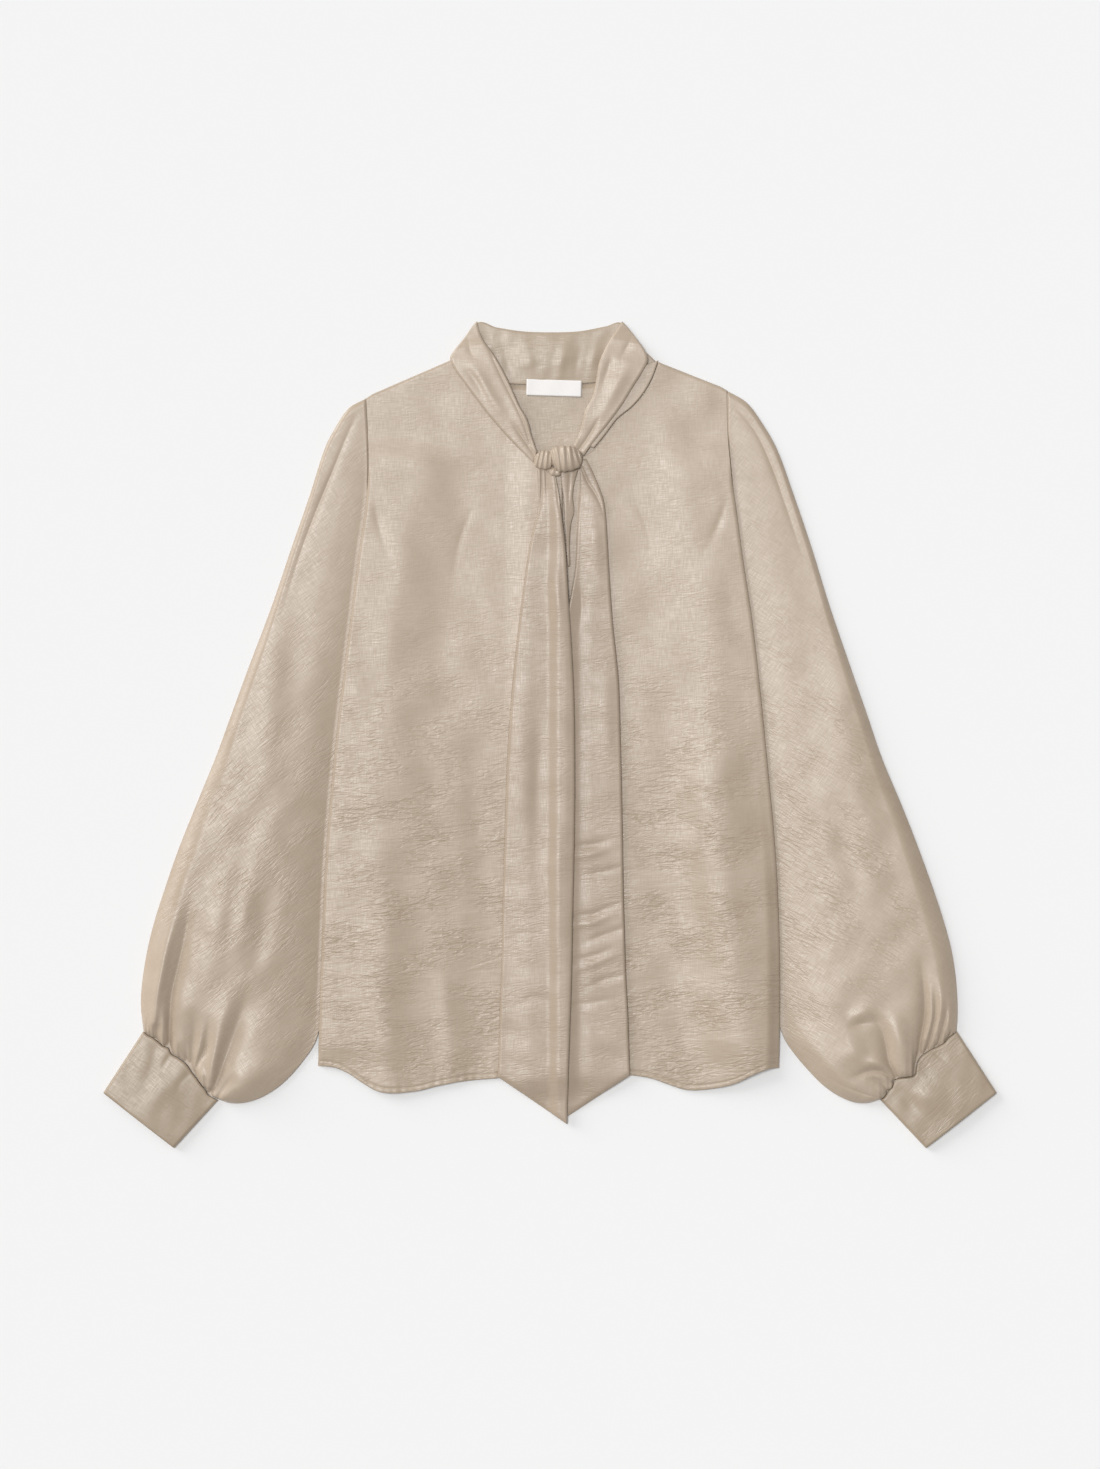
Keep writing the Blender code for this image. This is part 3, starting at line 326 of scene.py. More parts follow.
COLLAR_FOLDS_RIGHT = table(Fold, (
    (-0.9, 1.4, 1.8, 0.6, 0.8, True, ((-61, 373), (-47, 342), (-34, 316), (-25, 296), (-19, 276))),
    (1.2, 6.0, 4.0, 0, 0, False, ((-80, 362), (-64, 334), (-46, 306), (-28, 284))),
    (-0.8, 3.0, 4.0, 0, 0, False, ((-84, 352), (-70, 336), (-56, 310))),
    (-1.0, 2.4, 2.0, 0, 1, True, ((-38, 300), (-26, 282), (-15, 266))),
    (-0.7, 2.6, 4.0, 0.3, 0, True, ((-78, 376), (-76, 366), (-70, 352))),
))
COLLAR_FOLDS_LEFT = table(Fold, (
    (1.2, 8.0, 4.0, 0, 0, False, ((80, 362), (66, 336), (52, 310), (36, 282))),
    (-0.8, 3.0, 4.0, 0, 0, False, ((60, 364), (54, 344), (46, 320))),
    (-1.1, 2.2, 2.0, 0, 1, True, ((48, 304), (38, 286), (27, 270))),
    (-0.7, 2.6, 4.0, 0.3, 0, True, ((78, 378), (72, 366), (64, 352))),
))
BAND_COLUMNS = 44
BAND_UNDER_COLUMNS = 12
TIE_ROWS = 300
BAND_HEIGHT = 4.2
BAND_CRINKLE = 0.25

COLLAR_BACK_TOP = table(Edge, (
    (-90, 361.5), (-81, 373.5), (-70, 391.0), (-51, 387.3), (-27, 383.6), (0, 382.6), (28, 383.6),
    (53, 388.2), (69, 391.0), (82, 373.0), (97, 358.5),
))
COLLAR_BACK_FOLDS = table(Fold, (
    (0.9, 5.0, 6.0, 0.6, 0.4, False, ((8, 340), (11, 358), (14, 378))),
    (-0.6, 4.0, 5.0, 0.6, 0.4, False, ((24, 340), (26, 356), (30, 376))),
    (0.7, 5.0, 5.0, 0.6, 0.4, False, ((38, 342), (41, 358), (44, 378))),
    (0.7, 6.0, 6.0, 0.6, 0.4, False, ((-18, 340), (-21, 358), (-24, 378))),
    (-0.6, 4.0, 5.0, 0.6, 0.4, False, ((-38, 344), (-42, 360), (-46, 380))),
))

# The strip of band outside the left collar, from the neck edge to under the collar.
StandRow = namedtuple("StandRow", "outer_x outer_y inner_x inner_y")
NECK_STAND = table(StandRow, (
    (103.0, 355.6, 84.0, 349.0), (97.5, 340.0, 77.0, 336.0), (88.9, 324.7, 67.5, 322.0),
    (78.2, 312.2, 57.0, 309.0), (64.2, 300.6, 47.0, 296.0), (52.0, 284.8, 40.0, 286.0),
    (42.0, 272.6, 34.0, 275.0),
))

# The hanging tie ends: left and right edge of each row, in plan.
TieRow = namedtuple("TieRow", "left_x left_y right_x right_y")
TIE_RIGHT = table(TieRow, (
    (-12.2, 254.0, 3.0, 254.6), (-11.6, 243.0, 5.6, 243.0), (-11.0, 226.0, 8.6, 227.0),
    (-12.0, 212.0, 10.6, 212.0), (-17.0, 191.0, 13.3, 191.0), (-21.4, 168.0, 15.4, 168.0),
    (-25.5, 138.5, 17.1, 138.5), (-31.0, 94.8, 20.0, 94.8), (-36.5, 40.6, 22.8, 40.6),
    (-41.0, -25.0, 23.8, -25.0), (-43.0, -85.0, 23.6, -85.0), (-45.3, -169.0, 21.9, -169.0),
    (-46.4, -226.0, 20.9, -226.0), (-48.0, -272.0, 19.0, -285.0), (-48.8, -304.0, 17.6, -325.0),
    (-49.2, -316.0, 17.0, -347.0), (-49.5, -325.1, 16.4, -370.2),
))
TIE_LEFT = table(TieRow, (
    (26.0, 262.5, 34.6, 262.0), (28.6, 250.0, 40.5, 250.0), (28.6, 236.0, 46.0, 237.0),
    (27.6, 222.7, 51.0, 222.7), (26.4, 206.0, 53.2, 206.0), (25.2, 186.0, 54.6, 186.0),
    (24.0, 160.0, 56.0, 160.0), (15.0, 105.0, 59.8, 105.0), (12.0, 51.0, 65.3, 51.0),
    (12.0, -3.0, 67.0, -3.0), (12.0, -70.0, 68.6, -70.0), (12.3, -165.0, 70.3, -165.0),
    (13.0, -226.0, 72.2, -226.0), (14.0, -285.0, 74.4, -272.0), (14.6, -325.0, 75.4, -302.0),
    (15.0, -346.0, 75.8, -314.0), (15.3, -363.8, 76.2, -323.5),
))
TIE_FOLD = table(TieRow, (
    (9.6, 252.4, 26.8, 252.4), (11.2, 236.0, 22.4, 236.0), (12.6, 226.0, 21.6, 226.0),
    (13.2, 212.0, 22.8, 212.0), (13.9, 200.0, 19.8, 200.0), (15.2, 184.0, 18.6, 184.0),
    (16.8, 160.0, 19.0, 160.0),
))
TIE_FOLDS_RIGHT = table(Fold, (
    (1.1, 5.0, 8.0, 0, 0, False, ((-3, 176), (4, 140), (9, 110), (13, 60))),
    (-1.8, 1.8, 4.0, 1, 0, True, ((5.5, 252), (7.0, 232), (8.6, 214), (10.4, 196))),
    (-1.2, 1.4, 2.4, 1, 0, True, ((-7.8, 252), (-8.2, 232), (-10.8, 210), (-16, 186))),
    (-1.0, 1.2, 2.0, 1, 0, True, ((-4.2, 253), (-3.4, 240), (-3.2, 222))),
    (1.4, 9.0, 16.0, 0, 0, False, ((-24, 90), (-30, 20), (-32, -70), (-30, -180))),
    (-0.8, 6.0, 9.0, 0, 0, False, ((-8, 40), (-12, -60), (-14, -170))),
    (1.0, 9.0, 12.0, 0, 0, False, ((8, -60), (4, -160), (2, -250))),
    (-0.5, 3.0, 3.0, 0, 0, True, ((-44, -196), (-24, -188), (2, -192))),
    (-0.5, 3.0, 3.0, 0, 0, True, ((-40, -262), (-16, -250), (14, -256))),
))
TIE_FOLDS_LEFT = table(Fold, (
    (-1.0, 1.2, 1.6, 1, 0, True, ((30, 254), (36, 240), (43.6, 228), (49.6, 214), (52, 196))),
    (0.9, 6.0, 9.0, 0, 0, False, ((40, 226), (44, 170), (46, 110))),
    (-0.9, 3.0, 4.0, 0, 0, True, ((28, 150), (30, 120), (26, 90))),
    (1.0, 9.0, 10.0, 0, 0, False, ((52, 90), (54, 0), (58, -90))),
    (-1.2, 2.6, 2.8, 0.6, 0.1, True, ((24, -106), (42, -104), (62, -98))),
    (0.9, 3.4, 3.4, 0.6, 0.1, False, ((24, -115), (40, -113), (62, -106))),
    (-0.9, 2.4, 2.6, 0.2, 0.6, True, ((30, -133), (50, -130), (69, -125))),
    (-1.3, 2.6, 3.0, 0.6, 0.2, True, ((24, -172), (42, -170), (56, -164), (68, -160))),
    (1.0, 3.4, 3.4, 0.6, 0.2, False, ((24, -181), (42, -178), (60, -170))),
    (-1.1, 2.6, 3.0, 0.2, 0.6, True, ((34, -196), (52, -190), (69, -184))),
    (-1.1, 2.4, 2.8, 0.6, 0.2, True, ((24, -213), (42, -210), (58, -203))),
    (1.0, 3.4, 3.4, 0.4, 0.2, False, ((26, -222), (46, -216), (66, -208))),
    (-1.1, 2.4, 2.8, 0.2, 0.5, True, ((36, -238), (54, -232), (70, -228))),
    (-0.8, 2.6, 2.8, 0.5, 0.2, True, ((24, -256), (44, -254), (62, -250))),
))

# The knot is puffs of gathered cloth, each a bent tube: where its middle runs in plan, how
# far it reaches across and how high its top lies, with a count of pleats that run across.
Puffed = namedtuple("Puffed", "x y half_across top")
Lobe = namedtuple("Lobe", "name pleats pleat_depth sections")
KNOT_LOBES = (
    Lobe("wrap", 7, 0.75, (
        Puffed(0.4, 259.6, 5.0, 9.5),
        Puffed(3.6, 260.6, 10.6, 13.4),
        Puffed(9.0, 261.6, 12.2, 16.2),
        Puffed(15.5, 262.0, 12.2, 16.8),
        Puffed(21.8, 262.6, 11.2, 15.2),
        Puffed(27.0, 264.0, 8.6, 12.2),
        Puffed(30.6, 265.0, 4.0, 9.0),
    )),
    Lobe("inflow", 5, 0.6, (
        Puffed(-14.8, 263.0, 5.0, 8.0),
        Puffed(-11.6, 262.0, 7.8, 9.8),
        Puffed(-6.6, 261.0, 8.8, 11.2),
        Puffed(-1.6, 260.4, 8.4, 11.6),
        Puffed(3.0, 260.2, 6.0, 10.6),
    )),
    Lobe("lip", 3, 0.35, (
        Puffed(-1.5, 251.5, 2.2, 8.0),
        Puffed(2.4, 249.8, 4.0, 9.8),
        Puffed(7.0, 249.0, 3.6, 9.6),
        Puffed(11.0, 249.6, 2.0, 8.2),
    )),
)
KNOT_LOW = 3.6
KNOT_ROWS = 64
KNOT_RING = 40

LABEL_CENTRE = Edge(3.8, 329.6)
LABEL_SIZE = (52.5, 15.6)
LABEL_TILT = -0.03
LABEL_WALL = 0.5
LABEL_SHADE = "#efebe8"
LABEL_WHITE = "#f8f5f3"

# The photograph's frame at the blouse's own scale, seen from straight above.
VIEW_HEIGHT = 1395.5
LENS = 120.0
SENSOR = 36.0
VIEW_CENTRE_Y = 0.2
SHARPEST_HEIGHT = 5.0
FLOOR_HALF = 4.0
SURROUND_STRENGTH = 0.34

# Each light: the direction towards it, its strength, and its width in degrees.
SOFTBOX = ((-0.20, 0.13, 1.0), 1.62, 20.0)
LOW_SIDE = ((-0.82, 0.55, 0.30), 1.75, 34.0)


def column(rows, name):
    """One named column of a table, as an array."""
    return np.array([getattr(row, name) for row in rows], float)


def smooth(t):
    """0 below 0, 1 above 1, and an S-shaped rise between."""
    t = np.clip(t, 0.0, 1.0)
    return t * t * (3.0 - 2.0 * t)


def curve(knots, values, at):
    """A cubic curve through the values, whose slope at each knot is the mean of its two sides'."""
    knots, values, at = (np.asarray(a, float) for a in (knots, values, at))
    rises = np.diff(values) / np.diff(knots)
    slopes = np.concatenate([rises[:1], (rises[:-1] + rises[1:]) / 2, rises[-1:]])
    k = np.clip(np.searchsorted(knots, at) - 1, 0, len(knots) - 2)
    span = knots[k + 1] - knots[k]
    t = (at - knots[k]) / span
    first = (1 + 2 * t) * (1 - t) ** 2 * values[k] + t * (1 - t) ** 2 * span * slopes[k]
    second = t * t * (3 - 2 * t) * values[k + 1] - t * t * (1 - t) * span * slopes[k + 1]
    return first + second


def smooth_path(points, count):
    """Points spread along a path: each coordinate is a cubic curve of the chord length."""
    points = np.array(points, float)
    chord = np.concatenate([[0], np.cumsum(np.linalg.norm(np.diff(points, axis=0), axis=1))])
    at = np.linspace(0, chord[-1], count)
    return np.stack([curve(chord, points[:, k], at) for k in range(points.shape[1])], axis=1)


def nearest_on(path, x, y):
    """Distance from each point to a path of short straight steps, and how far along, 0 to 1."""
    best = np.full(x.shape, 1e9)
    place = np.zeros(x.shape)
    steps = len(path) - 1
    for k in range(steps):
        step = path[k + 1] - path[k]
        dx, dy = x - path[k, 0], y - path[k, 1]
        t = np.clip((dx * step[0] + dy * step[1]) / (step @ step), 0, 1)
        distance = np.hypot(dx - t * step[0], dy - t * step[1])
        place = np.where(distance < best, (k + t) / steps, place)
        best = np.minimum(best, distance)
    return best, place


def relief(folds, x, y):
    """Sum of folds: a bell across each path, or a narrow cusp where sharp, faded at its ends."""
    total = np.zeros(x.shape)
    for fold in folds:
        distance, s = nearest_on(smooth_path(fold.path, 14), x, y)
        width = fold.width + (fold.end_width - fold.width) * s
        away = distance / width
        shape = np.exp(0.3 - np.sqrt(1.6 * away**2 + 0.09)) if fold.sharp else np.exp(-(away**2))
        rise = fold.start + (1 - fold.start) * smooth(s / 0.4)
        fall = fold.end + (1 - fold.end) * smooth((1 - s) / 0.7)
        total += fold.height * shape * rise * fall
    return total


def ripples(seed, x, y, waves, length, turn=0.0, spread=0.5):
    """Small unevenness: a sum of sine waves of about one length, in directions near turn."""
    rng = np.random.default_rng(seed)
    total = np.zeros(x.shape)
    for _ in range(waves):
        angle = turn + rng.normal(0, spread)
        size = length * rng.uniform(0.7, 1.6)
        phase = rng.uniform(0, 2 * np.pi)
        total += np.sin(2 * np.pi * (x * np.cos(angle) + y * np.sin(angle)) / size + phase)
    return total / np.sqrt(waves)


def side_out(side, y):
    """Distance of the body's side edge from the centre line at a height."""
    y = np.clip(y, BODY_SIDES[0].y, BODY_SIDES[-1].y)
    return curve(column(BODY_SIDES, "y"), column(BODY_SIDES, side), y)


def sign_of(side):
    """-1 for the wearer's right side, which lies at -X, and 1 for the left."""
    return -1.0 if side == "right" else 1.0


def edge_points(rows, x_name, y_name):
    """One edge of a table of rows, as plan points."""
    return np.column_stack([column(rows, x_name), column(rows, y_name)])


def eased(count):
    """Shares from 0 to 1, closer together at both ends."""
    return (1 - np.cos(np.pi * np.linspace(0, 1, count))) / 2


def between(outer, inner, u):
    """Plan points on straight lines from one edge to the other, at shares u."""
    return outer[:, None] * (1 - u[:, None]) + inner[:, None] * u[:, None]


def hem_y(x):
    return curve(column(HEM, "x"), column(HEM, "y"), x)


def edge_line(edge, x):
    return np.interp(x, column(edge, "x"), column(edge, "y"))


def lift(x, y):
    """How far the body is held up by the sleeve tucked below it."""
    inside = np.where(x < 0, side_out("right", y) + x, side_out("left", y) - x)
    across = 1.0 - smooth((inside - TUCK_WIDTH - TUCK_MARGIN) / TUCK_SLOPE)
    along = smooth((FOLD_START_Y + FOLD_SOFT - y) / FOLD_SOFT)
    hem = 0.3 + 0.7 * smooth((y - SLEEVE_LEAVES_Y + HEM_SOFT) / HEM_SOFT)
    return TUCK_LIFT * across * along * hem


def lap_rise(x):
    """Extra height where the right front lies over the left one, at the centre."""
    onto = smooth((x + 3.7 * LAP_HALF) / (2.3 * LAP_HALF))
    off = smooth((x - LAP_HALF - 1.5) / (1.4 * LAP_HALF))
    return LAP_STEP * onto * (1.0 - off)


def crinkle_of(y):
    """How crushed the satin is, and so how much painted shade darkens it: little at the shoulders, full
    from the waist down.
    """
    return CRINKLE_LEAST + CRINKLE_GAIN * smooth((CRINKLE_FROM_Y - y) / CRINKLE_RUN)


def grid_faces(rows, columns, closed=False):
    """Quads of a grid listed row by row, with each row's end joined to its start if closed."""
    last = columns if closed else columns - 1
    i = np.arange(last)
    first = np.arange(rows - 1)[:, None] * columns
    a, b = (first + i).reshape(-1), (first + (i + 1) % columns).reshape(-1)
    return np.column_stack([a, b, b + columns, a + columns])


def add_piece(name, points, faces, uv, crinkle, material, nodes):
    """A piece of the blouse: a smooth mesh with a cloth UV map in metres and a crinkle value.

    It stands for the named solids, rides with the blouse and takes its finish from the slot.
    """
    mesh = bpy.data.meshes.new(name)
    mesh.from_pydata((points * MM).tolist(), [], [face.tolist() for face in faces])
    layer = mesh.uv_layers.new(name="cloth")
    corners = np.empty(len(mesh.loops), np.int32)
    mesh.loops.foreach_get("vertex_index", corners)
    layer.data.foreach_set("uv", (uv.reshape(-1, 2) * MM)[corners].astype(np.float32).reshape(-1))
    values = mesh.attributes.new("crinkle", "FLOAT", "POINT")
    values.data.foreach_set("value", np.broadcast_to(crinkle, len(points)).astype(np.float32))
    mesh.shade_smooth()
    mesh.materials.append(material)
    piece = bpy.data.objects.new(name, mesh)
    bpy.context.scene.collection.objects.link(piece)
    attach(piece, "root")
    if nodes:
        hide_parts(*nodes)
    return piece


def give_wall(piece, wall):
    """Solidify: the modelled face stays where it is and the wall grows below it."""
    solidify = piece.modifiers.new("cloth_wall", "SOLIDIFY")
    solidify.thickness = wall * MM
    solidify.offset = -1.0
    solidify.use_quality_normals = True


def add_sheet(name, x, y, top, material, wall=CLOTH, crinkle=None):
    """One layer of cloth: a grid that faces up, with its wall below."""
    points = np.stack([x, y, top], axis=-1).reshape(-1, 3)
    faces = grid_faces(*x.shape)
    a, b, d = points[faces[:, 0]], points[faces[:, 1]], points[faces[:, 3]]
    if np.cross(b - a, d - a)[:, 2].sum() < 0:
        faces = faces[:, ::-1]
    if crinkle is None:
        crinkle = crinkle_of(y).reshape(-1)
    piece = add_piece(name, points, faces, turned(x, y, 0.0), crinkle, material, [name])
    give_wall(piece, wall)
    return piece


def turned(x, y, angle):
    """Cloth coordinates of plan points: the plan turned so that the weft lies level."""
    c, s = np.cos(angle), np.sin(angle)
    return np.stack([c * x + s * y, -s * x + c * y], axis=-1)


def body_grid(side, top_edge, end_out, across, up):
    """Plan points of half a panel, from its side edge to end_out past the centre line.

    across and up are shares, from the side edge to the centre and from the hem to the top.
    The plan is found by a few rounds of: x from the side edge's place at y, y from x.
    """
    sign = sign_of(side)
    shoulder_out = side_out(side, BODY_SIDES[-1].y)
    neck_column = (shoulder_out - NECK_POINT[side]) / (shoulder_out + end_out)
    c, r = np.meshgrid(np.sort(np.append(across, neck_column)), up)
    centre = -sign * end_out
    y = np.full(c.shape, 300.0)
    for _ in range(5):
        x = sign * side_out(side, y) * (1 - c) + centre * c
        y = hem_y(x) * (1 - r) + top_edge(x) * r
    x = sign * side_out(side, y) * (1 - c) + centre * c
    if sign > 0:
        x, y = x[:, ::-1], y[:, ::-1]
    return x, y


def body_shares(width, height):
    """Shares across and up a panel, closer together near its side edge and at both ends."""
    fine = np.array([0, 0.4, 0.9, 1.5, 2.3, 3.3, 4.6])
    across = np.concatenate([fine / width, np.linspace(6.0 / width, 1, 118)])
    ends = np.array([0, 0.5, 1.2, 2.2, 3.2, 3.9, 4.4, 4.8, 5.2, 5.8, 6.8, 8.2])
    up = np.concatenate([ends / height, np.linspace(10.0 / height, 1 - 8.0 / height, 190)])
    up = np.concatenate([up, 1 - ends[:5][::-1] * 1.4 / height])
    return across, up


def rolled(distance, radius, drop):
    """How far a surface falls within a radius of its folded edge: a quarter of an ellipse."""
    t = np.clip(1 - distance / radius, 0, 1)
    return drop * (1 - np.sqrt(1 - t * t))


def add_back():
    """The back, flat on the floor but for its edges over the sleeves."""
    edge = SHOULDER_RIGHT[:-1] + NECK_BACK + SHOULDER_LEFT[1:]
    across, up = np.linspace(0, 1, 60), np.linspace(0, 1, 110)
    xr, yr = body_grid("right", lambda at: edge_line(edge, at), 0.0, across, up)
    xl, yl = body_grid("left", lambda at: edge_line(edge, at), 0.0, across, up)
    x = np.concatenate([xr, xl[:, 1:]], axis=1)
    y = np.concatenate([yr, yl[:, 1:]], axis=1)
    y[0] += BACK_HEM_IN
    x[:, 0] += BACK_SIDE_IN
    x[:, -1] -= BACK_SIDE_IN
    top = LAYER + lift(x, y) + 0.12 * ripples(5, x, y, 6, 60)
    piece = add_sheet("back", x, y, top, satin_inside_shaded, wall=THIN_WALL)


def add_front(side):
    """A front panel: soft folds, a rolled side edge, and a narrow stitched hem."""
    if side == "right":
        edge = SHOULDER_RIGHT[:-1] + NECK_FRONT_RIGHT
    else:
        edge = NECK_FRONT_LEFT[:-1] + SHOULDER_LEFT
    across, up = body_shares(230.0, 680.0)
    x, y = body_grid(side, lambda at: edge_line(edge, at), LAP_HALF, across, up)
    out = side_out(side, y)
    from_side = out - np.abs(x)
    from_hem = y - hem_y(x)
    from_top = edge_line(edge, x) - y
    room = smooth(from_side / 12.0) * smooth((np.abs(x) - 58.0) / 30.0)
    folds = relief(BODY_FOLDS, x, y) * room
    fine = 0.22 * ripples(11, x, y, 9, 46, turn=0.6, spread=0.8) * smooth((np.abs(x) - 40) / 30)
    top = PANEL_TOP + FRONT_GAP + lift(x, y) + folds + fine * smooth(from_side / 20.0)
    if side == "right":
        top = top + lap_rise(x)
    folded = smooth((FOLD_START_Y + 10.0 - y) / 30.0)
    top -= rolled(from_side, *SIDE_ROLL) * folded
    top -= rolled(from_top, *TOP_ROLL) * smooth((np.abs(x) - NECK_POINT[side]) / 6.0)
    groove = HEM_GROOVE * np.exp(-(((from_hem - HEM_BAND) / HEM_GROOVE_WIDTH) ** 2))
    pucker = HEM_PUCKER * ripples(17, x, y, 6, 8.5, spread=0.12) * np.exp(-from_hem / 7.0)
    top += pucker - groove
    top -= rolled(from_hem, *HEM_ROLL)
    piece = add_sheet("front_" + side, x, y, top, satin)


def sleeve_plan(side, rows):
    """Plan points of a sleeve: each row is a straight line, but for the armhole and its neighbours."""
    outer = edge_points(rows, "outer_out", "outer_y")
    inner = edge_points(rows, "inner_out", "inner_y")
    steps = sum(np.linalg.norm(np.diff(edge, axis=0), axis=1) for edge in (outer, inner))
    chord = np.concatenate([[0], np.cumsum(steps)])
    near_end = 1 - (1 - np.linspace(0, 1, SLEEVE_ROWS)) ** 1.35
    at = chord[-1] * near_end
    u = eased(SLEEVE_COLUMNS)
    u = 0.55 * u + 0.45 * np.linspace(0, 1, SLEEVE_COLUMNS)
    outer = np.stack([curve(chord, outer[:, k], at) for k in (0, 1)], axis=1)
    inner_line = np.stack([curve(chord, inner[:, k], at) for k in (0, 1)], axis=1)
    plan = between(outer, inner_line, u)
    armhole_y = plan[0, :, 1]
    tuck = smooth((FOLD_START_Y - 6.0 - armhole_y) / (FOLD_START_Y - 6.0 - UNDERARM_Y))
    straight_end = side_out(side, UNDERARM_Y) + SEAM_GAP - inner[0, 0]
    armhole_out = side_out(side, armhole_y) + 0.15 - straight_end * tuck
    bend = armhole_out - plan[0, :, 0]
    share = np.interp(at, chord[: len(ARMHOLE_FADE)], ARMHOLE_FADE)
    plan[..., 0] += share[:, None] * bend
    to_end = np.hypot(*(plan[:, 0] - plan[-1, 0]).T)[:, None]
    return plan + seam_shift(side, plan[-1], u) * np.exp(-to_end / SEAM_REACH)[..., None]


def seam_shift(side, line, u):
    """How far the gathered seam wanders off the straight line, as plan shifts at shares u."""
    table = SEAM_RIGHT if side == "right" else SEAM_LEFT
    off = curve(column(table, "place"), column(table, "off"), u)
    along = line[-1] - line[0]
    along /= np.linalg.norm(along)
    towards_sleeve = np.array([along[1], -along[0]])
    towards_sleeve *= np.sign(towards_sleeve[1])
    return off[:, None] * towards_sleeve


def sleeve_height(side, plan, folds):
    """Height of the upper wall: a puff that fades up the sleeve, its folds and its gathers."""
    sign = sign_of(side)
    out, y = plan[..., 0], plan[..., 1]
    along = np.hypot(out - out[-1], y - y[-1])
    puff = curve(column(PUFF, "along"), column(PUFF, side), np.minimum(along, PUFF[-1].along - 1.0))
    from_body = out - side_out(side, y) - 3.0
    width = np.interp(y, column(SLEEVE_RISE, "y"), column(SLEEVE_RISE, side))
    below_body = smooth((SLEEVE_LEAVES_Y - y) / 40.0)
    near = np.clip(1 - from_body / width, 0, 1)
    shown = np.maximum(1 - near**2.2, 0.6 * below_body)
    fullness = (puff - PANEL_TOP) / 8.0
    creases = relief(folds, sign * out, y) * np.clip(shown * 1.4, 0, 1)
    troughs = np.where(creases < 0, 1 - np.exp(creases / DEEPEST_CREASE), 0) * -DEEPEST_CREASE
    creases = troughs + np.maximum(creases, 0)
    fine = 0.3 * ripples(23, out, y, 9, 34, turn=0.2, spread=0.6) * np.clip(fullness, 0, 1)
    gathers = 0.55 * ripples(29, out, np.zeros(y.shape), 6, 4.2, spread=0.1) * np.exp(-along / 7.0)
    height = PANEL_TOP + (puff - PANEL_TOP) * shown + creases + (fine + gathers) * shown
    return np.maximum(height, PANEL_TOP * (0.8 + 0.2 * (1 - below_body)))


def edge_distance(plan):
    """Distance of each point of each row from the nearer of the row's two ends, in plan."""
    step = np.linalg.norm(np.diff(plan, axis=1), axis=-1)
    length = np.concatenate([np.zeros((len(plan), 1)), np.cumsum(step, axis=1)], axis=1)
    return np.minimum(length, length[:, -1:] - length), length[:, -1]


def round_edge(distance, reach):
    """0 at an edge and 1 from reach inwards, along a quarter of an ellipse."""
    t = np.clip(1 - distance / reach, 0, 1)
    return np.sqrt(1 - t * t)


def soft_edge(distance, reach):
    """0 at an edge and 1 from reach inwards, along a parabola: a fold that isn't pressed round."""
    t = np.clip(1 - distance / reach, 0, 1)
    return 1 - t * t


def flat_tube(plan, height, middle, low, reach_top, reach_low, under, edge=round_edge):
    """Rings of a flattened tube: the upper wall at height, then the lower wall back again.

    Both walls meet at the height middle in rounded side edges, and the lower one lies at low.
    """
    distance, _ = edge_distance(plan)
    middle, low = np.broadcast_to(middle, height.shape), np.broadcast_to(low, height.shape)
    upper = middle + (height - middle) * edge(distance, reach_top)
    lower = middle - (middle - low) * round_edge(distance, reach_low)
    below = np.linspace(0, plan.shape[1] - 1, under + 2)[1:-1].round().astype(int)[::-1]
    upper_wall = np.concatenate([plan, upper[..., None]], axis=-1)
    lower_wall = np.concatenate([plan, lower[..., None]], axis=-1)[:, below]
    return np.concatenate([upper_wall, lower_wall], axis=1)


def add_tube(name, rings, material, nodes, wall, crinkle, uv, capped=False):
    """A tube from rings of points, facing out, open at both ends unless capped, with a wall inside."""
    count, size = rings.shape[:2]
    points = rings.reshape(-1, 3)
    faces = grid_faces(count, size, closed=True)
    a, b, d = points[faces[:, 0]], points[faces[:, 1]], points[faces[:, 3]]
    upward = np.cross(b - a, d - a)[:, 2]
    top_half = (np.arange(len(faces)) % size) < size // 2
    turn_over = upward[top_half].sum() < 0
    if turn_over:
        faces = faces[:, ::-1]
    faces = list(faces)
    if capped:
        ends = [np.arange(size)[::-1], np.arange(size) + (count - 1) * size]
        faces += [end[::-1] for end in ends] if turn_over else ends
    piece = add_piece(name, points, faces, uv, crinkle, material, nodes)
    give_wall(piece, wall)
    return piece


def add_sleeve(side, rows, folds):
    """A full sleeve: a tube pressed flat, puffed above the cuff and gathered into it."""
    sign = sign_of(side)
    plan = sleeve_plan(side, rows)
    height = sleeve_height(side, plan, folds)
    along = np.hypot(*(plan[:, 0] - plan[-1, 0]).T)
    fullness = np.interp(along, column(PUFF, "along"), column(PUFF, side))[:, None]
    reach = np.clip(fullness * 1.9, 5.0, 22.0) * np.interp(along, [0, 20], [0.35, 1])[:, None]
    middle = np.clip(0.2 * fullness, 1.35, 2.4)
    plan = plan * np.array([sign, 1.0])
    rings = flat_tube(
        plan, height, middle, low=0.3, reach_top=reach, reach_low=2.5,
        under=SLEEVE_UNDER_COLUMNS, edge=soft_edge,
    )
    turn = radians(SLEEVE_TURN) * -sign
    uv = turned(rings[..., 0], rings[..., 1], turn)
    smooth_end = np.interp(along, [0, 60, 170], [0.12, 0.2, 0.75])[:, None]
    crinkle = (crinkle_of(rings[..., 1]) * smooth_end).reshape(-1)
    name = "sleeve_" + side
    piece = add_tube(name, rings, satin, [name], THIN_WALL, crinkle, uv)


